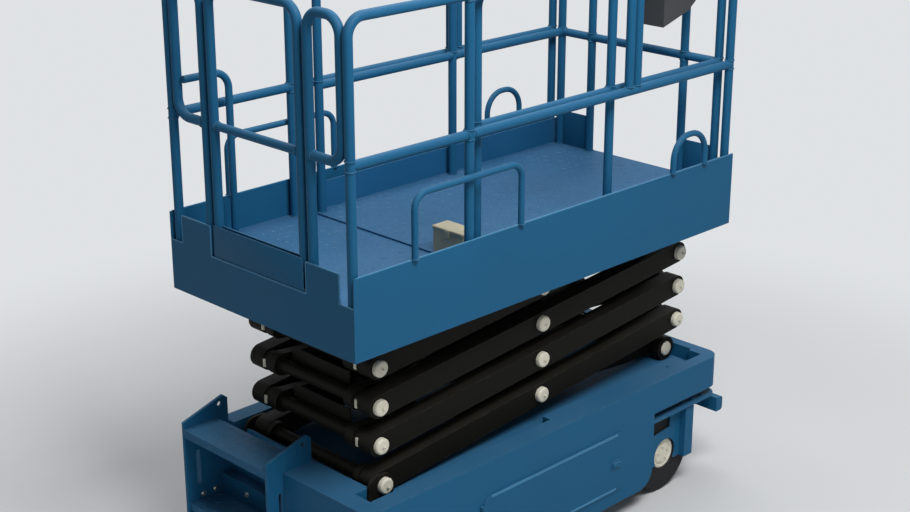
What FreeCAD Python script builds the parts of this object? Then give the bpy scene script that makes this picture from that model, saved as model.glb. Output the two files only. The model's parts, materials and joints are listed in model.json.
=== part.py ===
import FreeCAD, Part
import math
import os

# Electric slab scissor lift, stowed, with its guard rails up.
# Millimetres. X runs forward to the steered end, Y to the left, Z up from the ground.

V = FreeCAD.Vector

# Clearance between pieces that fit, seat or turn on one another
FIT_GAP = 0.3

# Half widths of the chassis and of the platform
CHASSIS_HALF_W = 550.0
PLATFORM_HALF_W = 550.0

# Wheels and steering
WHEEL_R = 190.0
WHEEL_W = 120.0
TYRE_SHOULDER_R = 18.0
RIM_R = 72.0
HUB_R = 52.0
HUB_WALL = 20.0
REAR_WHEEL_X = -719.0
FRONT_WHEEL_X = 785.0
WHEEL_FACE_Y = CHASSIS_HALF_W - 55.0
AXLE_R = 26.0
SPINDLE_END_Y = WHEEL_FACE_Y - 30.0
KINGPIN_Y = WHEEL_FACE_Y - 157.0
KINGPIN_R = 20.0
KINGPIN_HOUSING_R = 30.0
KINGPIN_HOUSING_H = 52.0
KNUCKLE_HALF_L = 50.0
KNUCKLE_HALF_W = 24.0
KNUCKLE_Z0 = 130.0
GUARD_T = 8.0
GUARD_GAP = 5.0
GUARD_REAR_X = 655.0
GUARD_STEP_X = 898.0
GUARD_FRONT_X = 948.0
GUARD_STEP_Y = CHASSIS_HALF_W - 10.0
GUARD_Z0 = 150.0
GUARD_Z1 = 394.0

# Chassis
CHASSIS_REAR_X = -1085.0
CHASSIS_FRONT_X = 1120.0
CHASSIS_BOTTOM_Z = 100.0
CHASSIS_TOP_Z = 605.0
CHASSIS_WALL = 8.0
CHASSIS_CORNER_R = 65.0
ARCH_GAP = 25.0
TUNNEL_HALF_W = 225.0
ARCH_WALL_X = 525.0
SIDE_PANEL_FRONT_X = 640.0
SIDE_PANEL_CORNER_R = 90.0
FRONT_SKIN_Z = 455.0
SHELF_Z = 415.0
SHELF_T = 10.0
# Wells sunk in the top plate: rear x, front x, inner y, outer y, floor z
WELL_FLOOR_Z = 540.0
DECK_WELL = (-925.0, 1068.0, 0.0, 420.0, WELL_FLOOR_Z)
ARM_WELL = (-1000.0, 30.0, 375.0, 465.0, WELL_FLOOR_Z)
FRONT_WELL = (935.0, 1050.0, 420.0, 490.0, 555.0)
BUMPER_X1 = 1165.0
BUMPER_Z0 = 305.0
BUMPER_Z1 = 375.0
BUMPER_HALF_W = CHASSIS_HALF_W - 5.0
BUMPER_EDGE_R = 14.0

# Side doors and the batteries behind them
DOOR_X0 = -465.0
DOOR_X1 = 435.0
DOOR_Z0 = 173.0
DOOR_Z1 = 451.0
DOOR_CORNER_R = 50.0
DOOR_PROUD = 6.0
DOOR_RETURN = 25.0
DOOR_RETURN_T = 3.0
DOOR_GAP = 5.0
DOOR_HINGE_R = 9.0
DOOR_HINGE_PIN_R = 4.0
DOOR_HINGE_H = 40.0
DOOR_HINGE_INSET = 50.0
DOOR_LUG_R = 7.0
DOOR_LUG_H = 15.0
DOOR_LEAF = 20.0
DOOR_LEAF_T = 4.0
BATTERY_DEPTH = 200.0
BATTERY_INSET_X = 50.0
BATTERY_INSET_Z = 30.0

# Entry ladder at the rear
LADDER_Y0 = -42.0
LADDER_Y1 = CHASSIS_HALF_W - 36.0
LADDER_REAR_X = -1165.0
LADDER_FRONT_X = -935.0
LADDER_T = 12.0
LADDER_BOTTOM_Z = 230.0
CHEEK_SHOULDER_Z = 665.0
CHEEK_PEAK_X = -958.0
CHEEK_PEAK_Z = 728.0
CHEEK_FRONT_Z = 709.0
TIE_DOWN_X = -977.0
TIE_DOWN_Z = 692.0
TIE_DOWN_R = 11.0
HAND_SLOT = (-1110.0, -1090.0, 360.0, 520.0)
# Treads: rear x, front x, bottom z, top z
TREADS = (
    (-1165.0, -995.0, 600.0, 635.0),
    (-985.0, -935.0, 290.0, 375.0),
    (-1155.0, -935.0, 260.0, 290.0),
)

# Scissor stack
STAGES = 4
ARM_LENGTH = 1869.0
ARM_RISE = 163.9
ARM_HALF_H = 48.0
OUTER_ARM_Y = 293.0
OUTER_ARM_T = 75.0
INNER_ARM_Y = 213.0
INNER_ARM_T = 45.0
PIVOT_REAR_X = -858.0
PIVOT_Z = 597.0
BOSS_R = 42.0
BOSS_T = 12.0
PIN_R = 25.0
PIN_HEAD_R = 34.0
PIN_HEAD_T = 22.0
PIN_DOME_R = 10.0
BASE_COLLAR_R = 36.0
BASE_COLLAR_T = 7.0
BASE_LUG_T = 28.0
OUTER_LUG_T = 12.0
OUTER_LUG_REACH = 80.0
CROSS_TUBE_R = 28.0
ROLLER_R = PIVOT_Z - WELL_FLOOR_Z - FIT_GAP
ROLLER_W = 60.0
TRACK_ROLLER_R = 34.0
TRACK_ROLLER_W = 24.0
ROLLER_END_R = 34.0
TAPER_LENGTH = 230.0
EYE_GAP = 20.0
LUG_T = 14.0
LUG_HALF_L = 50.0
LUG_CORNER_R = 48.0
TRACK_GAP = 6.0
TRACK_W = 38.0
TRACK_T = 6.0
TRACK_REAR_X = -200.0
TRACK_AHEAD = 56.0

# Lift cylinder: shares of the arm's length from its front pin, and the rod eye's height over its arm
BASE_SHARE = 0.8
EYE_SHARE = 0.4
EYE_OFFSET = 60.0
BARREL_R = 48.0
GLAND_R = 54.0
GLAND_L = 50.0
GLAND_SETBACK = 45.0
ROD_R = 30.0
EYE_R = 42.0
EYE_HALF_W = 34.0
EYE_SINK = 8.0

# Platform
PLATFORM_REAR_X = -1135.0
PLATFORM_FRONT_X = 1125.0
SKIRT_BOTTOM_Z = 1245.0
SKIRT_TOP_Z = 1570.0
SKIRT_T = 5.0
SKIRT_FLANGE = 40.0
DECK_Z = 1415.0
DECK_T = 6.0
MEMBER_H = 52.0
MEMBER_W = 60.0
MEMBER_SHARES = (0.018, 0.257, 0.487, 0.717, 0.956)
NOTCH_HALF_W = 286.0
NOTCH_Z = 1445.0
SILL_W = 45.0
CORNER_NOTCH_Y = PLATFORM_HALF_W - 80.0
CORNER_NOTCH_Z = 1455.0

# Guard rails
TUBE_R = 19.0
BEND_R = 70.0
RAIL_Y = PLATFORM_HALF_W - 32.0
MID_RAIL_Z = 1975.0
TOP_RAIL_Z = 2495.0
REAR_RAIL_X = PLATFORM_REAR_X + SKIRT_T + TUBE_R + FIT_GAP
FRONT_POST_X = PLATFORM_FRONT_X - TUBE_R - 3.0
SIDE_POST_X = -520.0
LOOP_SPLIT_X = 435.0
LOOP_SPLIT_GAP = 50.0
PANEL_OUTER_Y = PLATFORM_HALF_W - 70.0
GATE_POST_Y = 305.0
GATE_HALF_W = 255.0
GATE_LOW_Z = 1505.0
GATE_RISE = 10.0
GATE_BAR_R = 17.0
GATE_TOE_T = 5.0
GATE_TOE_GAP = 5.0
GATE_TOE_TOP_Z = 1578.0
HINGE_R = 11.0
HINGE_PIN_R = 6.0
HINGE_H = 40.0
HINGE_LUG_H = 10.0
HINGE_PIN_OUT = 5.0
HINGE_LEAF_T = 8.0
GATE_HINGE_INSET = 21.0
GATE_HINGE_LEVELS = (1800.0, 2320.0)
HOOP_R = 13.0
# Skirt hoops: rear leg x, front leg x, top z, bend radius
HOOPS = (
    (-835.0, -265.0, 1820.0, 60.0),
    (690.0, 910.0, 1725.0, 100.0),
)
GRAB_TUBE_R = 15.0
GRAB_Z = 2120.0
GRAB_X = -895.0

# Extension deck
EXT_REAR_X = -445.0
EXT_T = 8.0
EXT_SLIDE_GAP = 0.3
EXT_TOE_Y = PLATFORM_HALF_W - 58.0
EXT_TOE_T = 4.0
EXT_TOE_TOP_Z = 1545.0
EXT_RAIL_Y = RAIL_Y - 60.0
EXT_GUARD_X = 1106.0
EXT_GUARD_POST_Y = 270.0
EXT_REAR_POST_X = -420.0
EXT_MID_POST_X = 365.0
CONTROL_BOX_W = 150.0
CONTROL_HANGER_XS = (765.0, 965.0)
CONTROL_HANGER_L = 30.0
CONTROL_TOP_Z = TOP_RAIL_Z - 75.0
CONTROL_HANGER_Z = CONTROL_TOP_Z - 20.0
# Side outline of the control box as (x, drop below its top)
CONTROL_OUTLINE = ((725.0, 240.0), (895.0, 190.0), (1025.0, 90.0), (1025.0, 0.0), (725.0, 0.0))
# Document box: rear x, front x, right y, left y, height
DOCUMENT_BOX = (-435.0, -355.0, -400.0, -235.0, 100.0)

ARM_ANGLE = math.degrees(math.asin(ARM_RISE / ARM_LENGTH))
ARM_RUN = ARM_LENGTH * math.cos(math.radians(ARM_ANGLE))
PIVOT_FRONT_X = PIVOT_REAR_X + ARM_RUN
TRACK_FRONT_X = PIVOT_FRONT_X + TRACK_AHEAD


def level_z(level):
    """Height of the end pins at a level, 0 being the chassis pivots."""
    return PIVOT_Z + level * ARM_RISE


def box(x0, x1, y0, y1, z0, z1):
    return Part.makeBox(x1 - x0, y1 - y0, z1 - z0, V(x0, y0, z0))


def rod_y(x, z, r, y0, y1):
    return Part.makeCylinder(r, y1 - y0, V(x, y0, z), V(0, 1, 0))


def rod_z(x, y, r, z0, z1):
    return Part.makeCylinder(r, z1 - z0, V(x, y, z0), V(0, 0, 1))


def mirrored(shape):
    """The same shape on the other side of the centre plane."""
    return shape.mirror(V(0, 0, 0), V(0, 1, 0))


def on_side(shape, side):
    """Keep a left-hand shape for side 1, mirror it for side -1."""
    return shape if side > 0 else mirrored(shape)


def fuse(shapes):
    joined = shapes[0].multiFuse(shapes[1:])
    return joined.removeSplitter()


def prism_y(points, y0, y1):
    """Extrude an outline given as (x, z) points from y0 to y1."""
    corners = [V(x, y0, z) for x, z in points]
    face = Part.Face(Part.makePolygon(corners + corners[:1]))
    return face.extrude(V(0, y1 - y0, 0))


def rounded_plate_y(x0, x1, z0, z1, radii, y0, y1):
    """Plate in the XZ plane; radii are for the corners (x0,z0), (x1,z0), (x1,z1), (x0,z1)."""
    corners = [(x0, z0, 1, 1), (x1, z0, -1, 1), (x1, z1, -1, -1), (x0, z1, 1, -1)]
    edges = []
    ends = []
    for (cx, cz, sx, sz), radius in zip(corners, radii):
        horizontal = V(cx + sx * radius, y0, cz)
        vertical = V(cx, y0, cz + sz * radius)
        middle = V(cx + sx * radius * (1 - math.sqrt(0.5)), y0, cz + sz * radius * (1 - math.sqrt(0.5)))
        ends.append((horizontal, vertical, middle, radius))
    order = [(1, 0), (0, 1), (1, 0), (0, 1)]
    walk = []
    for (horizontal, vertical, middle, radius), (first, last) in zip(ends, order):
        pair = (horizontal, vertical)
        walk.append((pair[first], pair[last], middle, radius))
    for index, (enter, leave, middle, radius) in enumerate(walk):
        if radius > 0:
            edges.append(Part.Arc(enter, middle, leave).toShape())
        following = walk[(index + 1) % 4][0]
        if leave.distanceToPoint(following) > 0.01:
            edges.append(Part.LineSegment(leave, following).toShape())
    face = Part.Face(Part.Wire(edges))
    return face.extrude(V(0, y1 - y0, 0))


def bent_tube(points, radius, bend):
    """Round tube along straight runs joined by tangent arcs of one bend radius."""
    edges = []
    last = points[0]
    for before, corner, after in zip(points, points[1:], points[2:]):
        into = (corner - before).normalize()
        out = (after - corner).normalize()
        half_turn = into.getAngle(out) / 2
        cut = bend * math.tan(half_turn)
        start = corner - into * cut
        end = corner + out * cut
        inward = (out - into).normalize()
        centre = corner + inward * (bend / math.cos(half_turn))
        middle = centre - inward * bend
        edges.append(Part.LineSegment(last, start).toShape())
        edges.append(Part.Arc(start, middle, end).toShape())
        last = end
    edges.append(Part.LineSegment(last, points[-1]).toShape())
    path = Part.Wire(edges)
    profile = Part.Wire([Part.makeCircle(radius, points[0], points[1] - points[0])])
    return path.makePipeShell([profile], True, False)


def straight_tube(a, b, radius=TUBE_R):
    return Part.makeCylinder(radius, a.distanceToPoint(b), a, b - a)


def revolve_y(points, x, z):
    """Turn an (r, y) outline round the axis through (x, z) along Y."""
    corners = [V(x + r, y, z) for r, y in points]
    face = Part.Face(Part.makePolygon(corners + corners[:1]))
    return face.revolve(V(x, 0, z), V(0, 1, 0), 360)


# Chassis

def top_plate():
    """Flat top plate, rounded in plan at its front corners and open over the ladder."""
    inner = CHASSIS_HALF_W - CHASSIS_WALL
    z0 = CHASSIS_TOP_Z - CHASSIS_WALL
    corner_x = CHASSIS_FRONT_X - CHASSIS_CORNER_R
    corner_y = CHASSIS_HALF_W - CHASSIS_CORNER_R
    plate = box(CHASSIS_REAR_X, CHASSIS_FRONT_X, -inner, inner, z0, CHASSIS_TOP_Z)
    for side in (1, -1):
        square = box(corner_x, CHASSIS_FRONT_X, corner_y, CHASSIS_HALF_W, z0, CHASSIS_TOP_Z)
        round_off = square.cut(rod_z(corner_x, corner_y, CHASSIS_CORNER_R - CHASSIS_WALL, z0, CHASSIS_TOP_Z))
        plate = plate.cut(on_side(round_off, side))
    return plate


def front_shelf():
    """Shelf over the front wheels, as wide as the chassis in front of the side panel."""
    z0 = SHELF_Z - SHELF_T
    corner_x = CHASSIS_FRONT_X - CHASSIS_CORNER_R
    corner_y = CHASSIS_HALF_W - CHASSIS_CORNER_R
    pieces = [
        box(ARCH_WALL_X, SIDE_PANEL_FRONT_X, TUNNEL_HALF_W, CHASSIS_HALF_W - CHASSIS_WALL, z0, SHELF_Z),
        box(SIDE_PANEL_FRONT_X, corner_x, TUNNEL_HALF_W, CHASSIS_HALF_W, z0, SHELF_Z),
        box(corner_x, CHASSIS_FRONT_X, TUNNEL_HALF_W, corner_y, z0, SHELF_Z),
        rod_z(corner_x, corner_y, CHASSIS_CORNER_R, z0, SHELF_Z),
    ]
    return fuse(pieces)


def well_block(well):
    x0, x1, y0, y1, floor = well
    return box(x0 - CHASSIS_WALL, x1 + CHASSIS_WALL, y0 - CHASSIS_WALL, y1 + CHASSIS_WALL,
               floor - CHASSIS_WALL, CHASSIS_TOP_Z)


def well_void(well):
    x0, x1, y0, y1, floor = well
    return box(x0, x1, y0, y1, floor, CHASSIS_TOP_Z)


def chassis_frame():
    """Base plate, tunnel walls, cross walls, shelves and the top plate with the wells for the stack."""
    inner = CHASSIS_HALF_W - CHASSIS_WALL
    rear_arch_x0 = REAR_WHEEL_X - WHEEL_R - ARCH_GAP
    rear_arch_x1 = REAR_WHEEL_X + WHEEL_R + ARCH_GAP
    arch_y = WHEEL_FACE_Y - WHEEL_W - ARCH_GAP
    base_top = CHASSIS_BOTTOM_Z + CHASSIS_WALL
    top_under = CHASSIS_TOP_Z - CHASSIS_WALL
    shelf_under = SHELF_Z - SHELF_T
    front_y = CHASSIS_HALF_W - CHASSIS_CORNER_R
    front_x0 = CHASSIS_FRONT_X - CHASSIS_WALL
    pieces = [
        top_plate(),
        box(CHASSIS_REAR_X, ARCH_WALL_X, -inner, inner, CHASSIS_BOTTOM_Z, base_top),
        box(ARCH_WALL_X, CHASSIS_FRONT_X, -TUNNEL_HALF_W, TUNNEL_HALF_W, CHASSIS_BOTTOM_Z, base_top),
        box(front_x0, CHASSIS_FRONT_X, -front_y, front_y, FRONT_SKIN_Z, CHASSIS_TOP_Z),
        box(front_x0, CHASSIS_FRONT_X, -TUNNEL_HALF_W, TUNNEL_HALF_W, CHASSIS_BOTTOM_Z, FRONT_SKIN_Z),
        box(CHASSIS_REAR_X, CHASSIS_REAR_X + CHASSIS_WALL, -inner, LADDER_Y0, CHASSIS_BOTTOM_Z, CHASSIS_TOP_Z),
        box(LADDER_FRONT_X, LADDER_FRONT_X + CHASSIS_WALL, LADDER_Y0, inner, CHASSIS_BOTTOM_Z, CHASSIS_TOP_Z),
    ]
    for side in (1, -1):
        half = [
            front_shelf(),
            well_block(DECK_WELL),
            well_block(ARM_WELL),
            well_block(FRONT_WELL),
            box(rear_arch_x1, CHASSIS_FRONT_X, TUNNEL_HALF_W - CHASSIS_WALL, TUNNEL_HALF_W,
                CHASSIS_BOTTOM_Z, top_under),
            box(ARCH_WALL_X - CHASSIS_WALL, ARCH_WALL_X, TUNNEL_HALF_W, inner, CHASSIS_BOTTOM_Z, top_under),
            box(rear_arch_x1, rear_arch_x1 + CHASSIS_WALL, TUNNEL_HALF_W - CHASSIS_WALL, inner,
                CHASSIS_BOTTOM_Z, top_under),
            box(rear_arch_x0, rear_arch_x1, arch_y - CHASSIS_WALL, arch_y, CHASSIS_BOTTOM_Z, SHELF_Z),
            box(rear_arch_x0, rear_arch_x1, arch_y - CHASSIS_WALL, inner, shelf_under, SHELF_Z),
            rod_z(FRONT_WHEEL_X, KINGPIN_Y, KINGPIN_HOUSING_R, shelf_under - KINGPIN_HOUSING_H, shelf_under),
        ]
        pieces += [on_side(piece, side) for piece in half]
    frame = fuse(pieces)
    ladder_clear = box(LADDER_REAR_X, LADDER_FRONT_X, LADDER_Y0, CHASSIS_HALF_W, 0, CHASSIS_TOP_Z)
    frame = frame.cut(ladder_clear)
    for side in (1, -1):
        voids = [
            box(rear_arch_x0, rear_arch_x1, arch_y, CHASSIS_HALF_W, 0, shelf_under),
            rod_z(FRONT_WHEEL_X, KINGPIN_Y, KINGPIN_R + FIT_GAP, shelf_under - KINGPIN_HOUSING_H, shelf_under),
            well_void(DECK_WELL),
            well_void(ARM_WELL),
            well_void(FRONT_WELL),
        ]
        for void in voids:
            frame = frame.cut(on_side(void, side))
    return frame.cut(rod_y(REAR_WHEEL_X, WHEEL_R, AXLE_R + FIT_GAP, -inner, inner))


def front_corner():
    """Quarter-round skin at a front corner of the chassis, made on the left."""
    x = CHASSIS_FRONT_X - CHASSIS_CORNER_R
    y = CHASSIS_HALF_W - CHASSIS_CORNER_R
    ring = rod_z(x, y, CHASSIS_CORNER_R, FRONT_SKIN_Z, CHASSIS_TOP_Z)
    ring = ring.cut(rod_z(x, y, CHASSIS_CORNER_R - CHASSIS_WALL, FRONT_SKIN_Z, CHASSIS_TOP_Z))
    return ring.common(box(x, CHASSIS_FRONT_X, y, CHASSIS_HALF_W, FRONT_SKIN_Z, CHASSIS_TOP_Z))


def chassis_side(side):
    """Side panel with its door opening, rear wheel arch, high front part and door hinge lugs."""
    outer = CHASSIS_HALF_W
    inner = outer - CHASSIS_WALL
    low_skin = rounded_plate_y(CHASSIS_REAR_X, SIDE_PANEL_FRONT_X, CHASSIS_BOTTOM_Z, CHASSIS_TOP_Z,
                               (0, SIDE_PANEL_CORNER_R, 0, 0), inner, outer)
    high_skin = box(SIDE_PANEL_FRONT_X, CHASSIS_FRONT_X - CHASSIS_CORNER_R, inner, outer,
                    FRONT_SKIN_Z, CHASSIS_TOP_Z)
    skin = fuse([low_skin, high_skin, front_corner()])
    arch = rod_y(REAR_WHEEL_X, WHEEL_R, WHEEL_R + ARCH_GAP, inner, outer)
    arch = arch.fuse(box(REAR_WHEEL_X - WHEEL_R - ARCH_GAP, REAR_WHEEL_X + WHEEL_R + ARCH_GAP,
                         inner, outer, 0, WHEEL_R))
    opening = rounded_plate_y(DOOR_X0 + DOOR_GAP, DOOR_X1 - DOOR_GAP, DOOR_Z0 + DOOR_GAP,
                              DOOR_Z1 - DOOR_GAP, (DOOR_CORNER_R,) * 4, inner, outer)
    pieces = [skin.cut(arch).cut(opening)]
    if side > 0:
        pieces.append(box(CHASSIS_REAR_X, CHASSIS_REAR_X + CHASSIS_WALL, LADDER_Y1 + FIT_GAP, inner,
                          CHASSIS_BOTTOM_Z, CHASSIS_TOP_Z))
    hinge_x = DOOR_X0 - DOOR_HINGE_R
    for z in door_hinge_levels():
        pin_z0 = z - DOOR_LUG_H - 1
        pin_z1 = z + DOOR_HINGE_H + DOOR_LUG_H + 1
        pieces.append(rod_z(hinge_x, door_hinge_y(), DOOR_HINGE_PIN_R, pin_z0, pin_z1))
        for lug_z in (pin_z0, pin_z1 - DOOR_LUG_H):
            pieces.append(rod_z(hinge_x, door_hinge_y(), DOOR_LUG_R, lug_z, lug_z + DOOR_LUG_H))
            pieces.append(box(hinge_x - DOOR_HINGE_R, hinge_x, outer, door_hinge_y(),
                              lug_z, lug_z + DOOR_LUG_H))
    return on_side(fuse(pieces), side)


def outer_lug_y():
    """Inner face of the fixed lug outside the lowest rear end of an outer arm."""
    return OUTER_ARM_Y + OUTER_ARM_T + BASE_COLLAR_T + 1


def base_lug(reach, y0, thickness):
    """Lug that stands on the well floor, its round top corners level with the arm."""
    lug = rounded_plate_y(PIVOT_REAR_X - reach, PIVOT_REAR_X + LUG_HALF_L, WELL_FLOOR_Z,
                          PIVOT_Z + LUG_CORNER_R, (0, 0, LUG_CORNER_R, LUG_CORNER_R), y0, y0 + thickness)
    return lug.cut(rod_y(PIVOT_REAR_X, PIVOT_Z, PIN_R + FIT_GAP, y0, y0 + thickness))


def base_pivots():
    """Fixed lugs each side of the lowest rear arm ends, with a cross tube between the inner pair."""
    inner_y = INNER_ARM_Y + INNER_ARM_T + 1
    tied = [rod_y(PIVOT_REAR_X, PIVOT_Z, CROSS_TUBE_R, -inner_y, inner_y)]
    outer = []
    for side in (1, -1):
        tied.append(on_side(base_lug(LUG_HALF_L, inner_y, BASE_LUG_T), side))
        outer.append(on_side(base_lug(OUTER_LUG_REACH, outer_lug_y(), OUTER_LUG_T), side))
    return Part.makeCompound([fuse(tied)] + outer)


def rear_ladder():
    """Entry steps: two cheek plates with tie-down holes and hand slots, joined by the treads."""
    outline = [(LADDER_REAR_X, LADDER_BOTTOM_Z), (LADDER_FRONT_X, LADDER_BOTTOM_Z),
               (LADDER_FRONT_X, CHEEK_FRONT_Z), (CHEEK_PEAK_X, CHEEK_PEAK_Z),
               (LADDER_REAR_X, CHEEK_SHOULDER_Z)]
    slot_x0, slot_x1, slot_z0, slot_z1 = HAND_SLOT
    slot_r = (slot_x1 - slot_x0) / 2 - 0.5
    hole = rod_y(TIE_DOWN_X, TIE_DOWN_Z, TIE_DOWN_R, LADDER_Y0, LADDER_Y1)
    slot = rounded_plate_y(slot_x0, slot_x1, slot_z0, slot_z1, (slot_r,) * 4, LADDER_Y0, LADDER_Y1)
    pieces = []
    for y0 in (LADDER_Y0, LADDER_Y1 - LADDER_T):
        cheek = prism_y(outline, y0, y0 + LADDER_T)
        pieces.append(cheek.cut(hole).cut(slot))
    for x0, x1, z0, z1 in TREADS:
        pieces.append(box(x0, x1, LADDER_Y0 + LADDER_T, LADDER_Y1 - LADDER_T, z0, z1))
    return fuse(pieces)


def front_bumper():
    """Cross beam below the steered end, rounded along its front edges."""
    beam = box(CHASSIS_FRONT_X, BUMPER_X1, -BUMPER_HALF_W, BUMPER_HALF_W, BUMPER_Z0, BUMPER_Z1)
    edges = [edge for edge in beam.Edges if abs(edge.BoundBox.XMin - BUMPER_X1) < 0.1
             and edge.BoundBox.YLength > 1]
    return beam.makeFillet(BUMPER_EDGE_R, edges)


def rear_axle():
    """Fixed cross axle; its ends are the rear wheel spindles."""
    return rod_y(REAR_WHEEL_X, WHEEL_R, AXLE_R, -SPINDLE_END_Y, SPINDLE_END_Y)


def side_door(side):
    """Pressed tray door with rounded corners and edges turned in through the opening."""
    outer = CHASSIS_HALF_W + DOOR_PROUD
    skin = rounded_plate_y(DOOR_X0, DOOR_X1, DOOR_Z0, DOOR_Z1, (DOOR_CORNER_R,) * 4,
                           CHASSIS_HALF_W + FIT_GAP, outer)
    inset = DOOR_GAP * 2
    ring_r = DOOR_CORNER_R - DOOR_GAP
    ring = rounded_plate_y(DOOR_X0 + inset, DOOR_X1 - inset, DOOR_Z0 + inset, DOOR_Z1 - inset,
                           (ring_r,) * 4, CHASSIS_HALF_W - DOOR_RETURN, CHASSIS_HALF_W + FIT_GAP)
    wall = DOOR_RETURN_T
    hollow = rounded_plate_y(DOOR_X0 + inset + wall, DOOR_X1 - inset - wall, DOOR_Z0 + inset + wall,
                             DOOR_Z1 - inset - wall, (ring_r - wall,) * 4,
                             CHASSIS_HALF_W - DOOR_RETURN, CHASSIS_HALF_W + FIT_GAP)
    pieces = [skin, ring.cut(hollow)]
    for z in door_hinge_levels():
        eye = rod_z(DOOR_X0 - DOOR_HINGE_R, door_hinge_y(), DOOR_HINGE_R, z, z + DOOR_HINGE_H)
        leaf = box(DOOR_X0 - DOOR_HINGE_R, DOOR_X0 + DOOR_LEAF, outer, outer + DOOR_LEAF_T,
                   z, z + DOOR_HINGE_H)
        pieces += [eye, leaf]
    door = fuse(pieces)
    for z in door_hinge_levels():
        door = door.cut(rod_z(DOOR_X0 - DOOR_HINGE_R, door_hinge_y(), DOOR_HINGE_PIN_R + FIT_GAP,
                              z, z + DOOR_HINGE_H))
    return on_side(door, side)


def door_hinge_y():
    return CHASSIS_HALF_W + DOOR_HINGE_R + FIT_GAP


def door_hinge_levels():
    """Lower ends of the two hinge eyes of a door."""
    return (DOOR_Z0 + DOOR_HINGE_INSET, DOOR_Z1 - DOOR_HINGE_INSET - DOOR_HINGE_H)


def battery_tray(side):
    """Batteries on their swing-out tray, one plain block behind each door."""
    y1 = CHASSIS_HALF_W
    block = box(DOOR_X0 + BATTERY_INSET_X, DOOR_X1 - BATTERY_INSET_X, y1 - BATTERY_DEPTH, y1,
                DOOR_Z0 + BATTERY_INSET_Z, DOOR_Z1 - BATTERY_INSET_Z)
    return on_side(block, side)


# Wheels and steering

def tyre(x, side):
    """Solid tyre with rounded shoulders."""
    y0 = WHEEL_FACE_Y - WHEEL_W
    shoulder = TYRE_SHOULDER_R
    a = V(x + RIM_R, y0, WHEEL_R)
    b = V(x + WHEEL_R - shoulder, y0, WHEEL_R)
    c = V(x + WHEEL_R, y0 + shoulder, WHEEL_R)
    d = V(x + WHEEL_R, WHEEL_FACE_Y - shoulder, WHEEL_R)
    e = V(x + WHEEL_R - shoulder, WHEEL_FACE_Y, WHEEL_R)
    f = V(x + RIM_R, WHEEL_FACE_Y, WHEEL_R)
    bulge = shoulder * (1 - math.sqrt(0.5))
    low_mid = V(x + WHEEL_R - bulge, y0 + bulge, WHEEL_R)
    high_mid = V(x + WHEEL_R - bulge, WHEEL_FACE_Y - bulge, WHEEL_R)
    edges = [Part.LineSegment(a, b).toShape(), Part.Arc(b, low_mid, c).toShape(),
             Part.LineSegment(c, d).toShape(), Part.Arc(d, high_mid, e).toShape(),
             Part.LineSegment(e, f).toShape(), Part.LineSegment(f, a).toShape()]
    ring = Part.Face(Part.Wire(edges)).revolve(V(x, 0, WHEEL_R), V(0, 1, 0), 360)
    return on_side(ring, side)


def wheel_hub(x, side):
    """Flat wheel centre with a bevelled rim round a raised hub, bored for its spindle."""
    y0 = WHEEL_FACE_Y - WHEEL_W
    bore = AXLE_R + FIT_GAP
    # Outline as (radius, y)
    outline = [(bore, y0), (RIM_R, y0), (RIM_R, WHEEL_FACE_Y - 3), (RIM_R - 5, WHEEL_FACE_Y),
               (HUB_R + 8, WHEEL_FACE_Y), (HUB_R + 2, WHEEL_FACE_Y - 6), (HUB_R, WHEEL_FACE_Y - 6),
               (HUB_R - 4, WHEEL_FACE_Y), (0, WHEEL_FACE_Y), (0, WHEEL_FACE_Y - HUB_WALL),
               (bore, WHEEL_FACE_Y - HUB_WALL)]
    return on_side(revolve_y(outline, x, WHEEL_R), side)


def wheel_guard():
    """Plate beside the front tyre, stepped outwards at its front, on a bracket over the tyre."""
    y0 = WHEEL_FACE_Y + GUARD_GAP
    y1 = y0 + GUARD_T
    bracket_x0 = FRONT_WHEEL_X + KNUCKLE_HALF_L - GUARD_T - 5
    bracket_x1 = FRONT_WHEEL_X + KNUCKLE_HALF_L
    notch_x = FRONT_WHEEL_X + 30
    outline = [(GUARD_REAR_X, GUARD_Z0), (GUARD_STEP_X, GUARD_Z0), (GUARD_STEP_X, GUARD_Z1),
               (notch_x, GUARD_Z1), (notch_x, GUARD_Z1 - 75), (GUARD_REAR_X, GUARD_Z1 - 95)]
    plate = prism_y(outline, y0, y1)
    plate = plate.cut(rod_y(FRONT_WHEEL_X, WHEEL_R, RIM_R + GUARD_GAP, y0, y1))
    step = box(GUARD_STEP_X - GUARD_T, GUARD_STEP_X, y0, GUARD_STEP_Y, GUARD_Z0, GUARD_Z1)
    wing = box(GUARD_STEP_X - GUARD_T, GUARD_FRONT_X, GUARD_STEP_Y - GUARD_T, GUARD_STEP_Y, GUARD_Z0, GUARD_Z1)
    web = box(bracket_x0, bracket_x1, KINGPIN_Y - KNUCKLE_HALF_W, KINGPIN_Y + KNUCKLE_HALF_W,
              GUARD_Z1 - 60, GUARD_Z1)
    arm = box(bracket_x0, GUARD_STEP_X, KINGPIN_Y - KNUCKLE_HALF_W, y1, GUARD_Z1 - GUARD_T, GUARD_Z1)
    return [plate, step, wing, web, arm]


def steering_knuckle(side):
    """King pin, stub axle and the guard plate that turns with the wheel."""
    top = SHELF_Z - SHELF_T - 1
    body_top = SHELF_Z - SHELF_T - KINGPIN_HOUSING_H - 2
    pin = rod_z(FRONT_WHEEL_X, KINGPIN_Y, KINGPIN_R, KNUCKLE_Z0, top)
    block = box(FRONT_WHEEL_X - KNUCKLE_HALF_L, FRONT_WHEEL_X + KNUCKLE_HALF_L,
                KINGPIN_Y - KNUCKLE_HALF_W, KINGPIN_Y + KNUCKLE_HALF_W, KNUCKLE_Z0, body_top)
    spindle = rod_y(FRONT_WHEEL_X, WHEEL_R, AXLE_R, KINGPIN_Y, SPINDLE_END_Y)
    return on_side(fuse([pin, block, spindle] + wheel_guard()), side)


# Scissor arms

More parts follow.
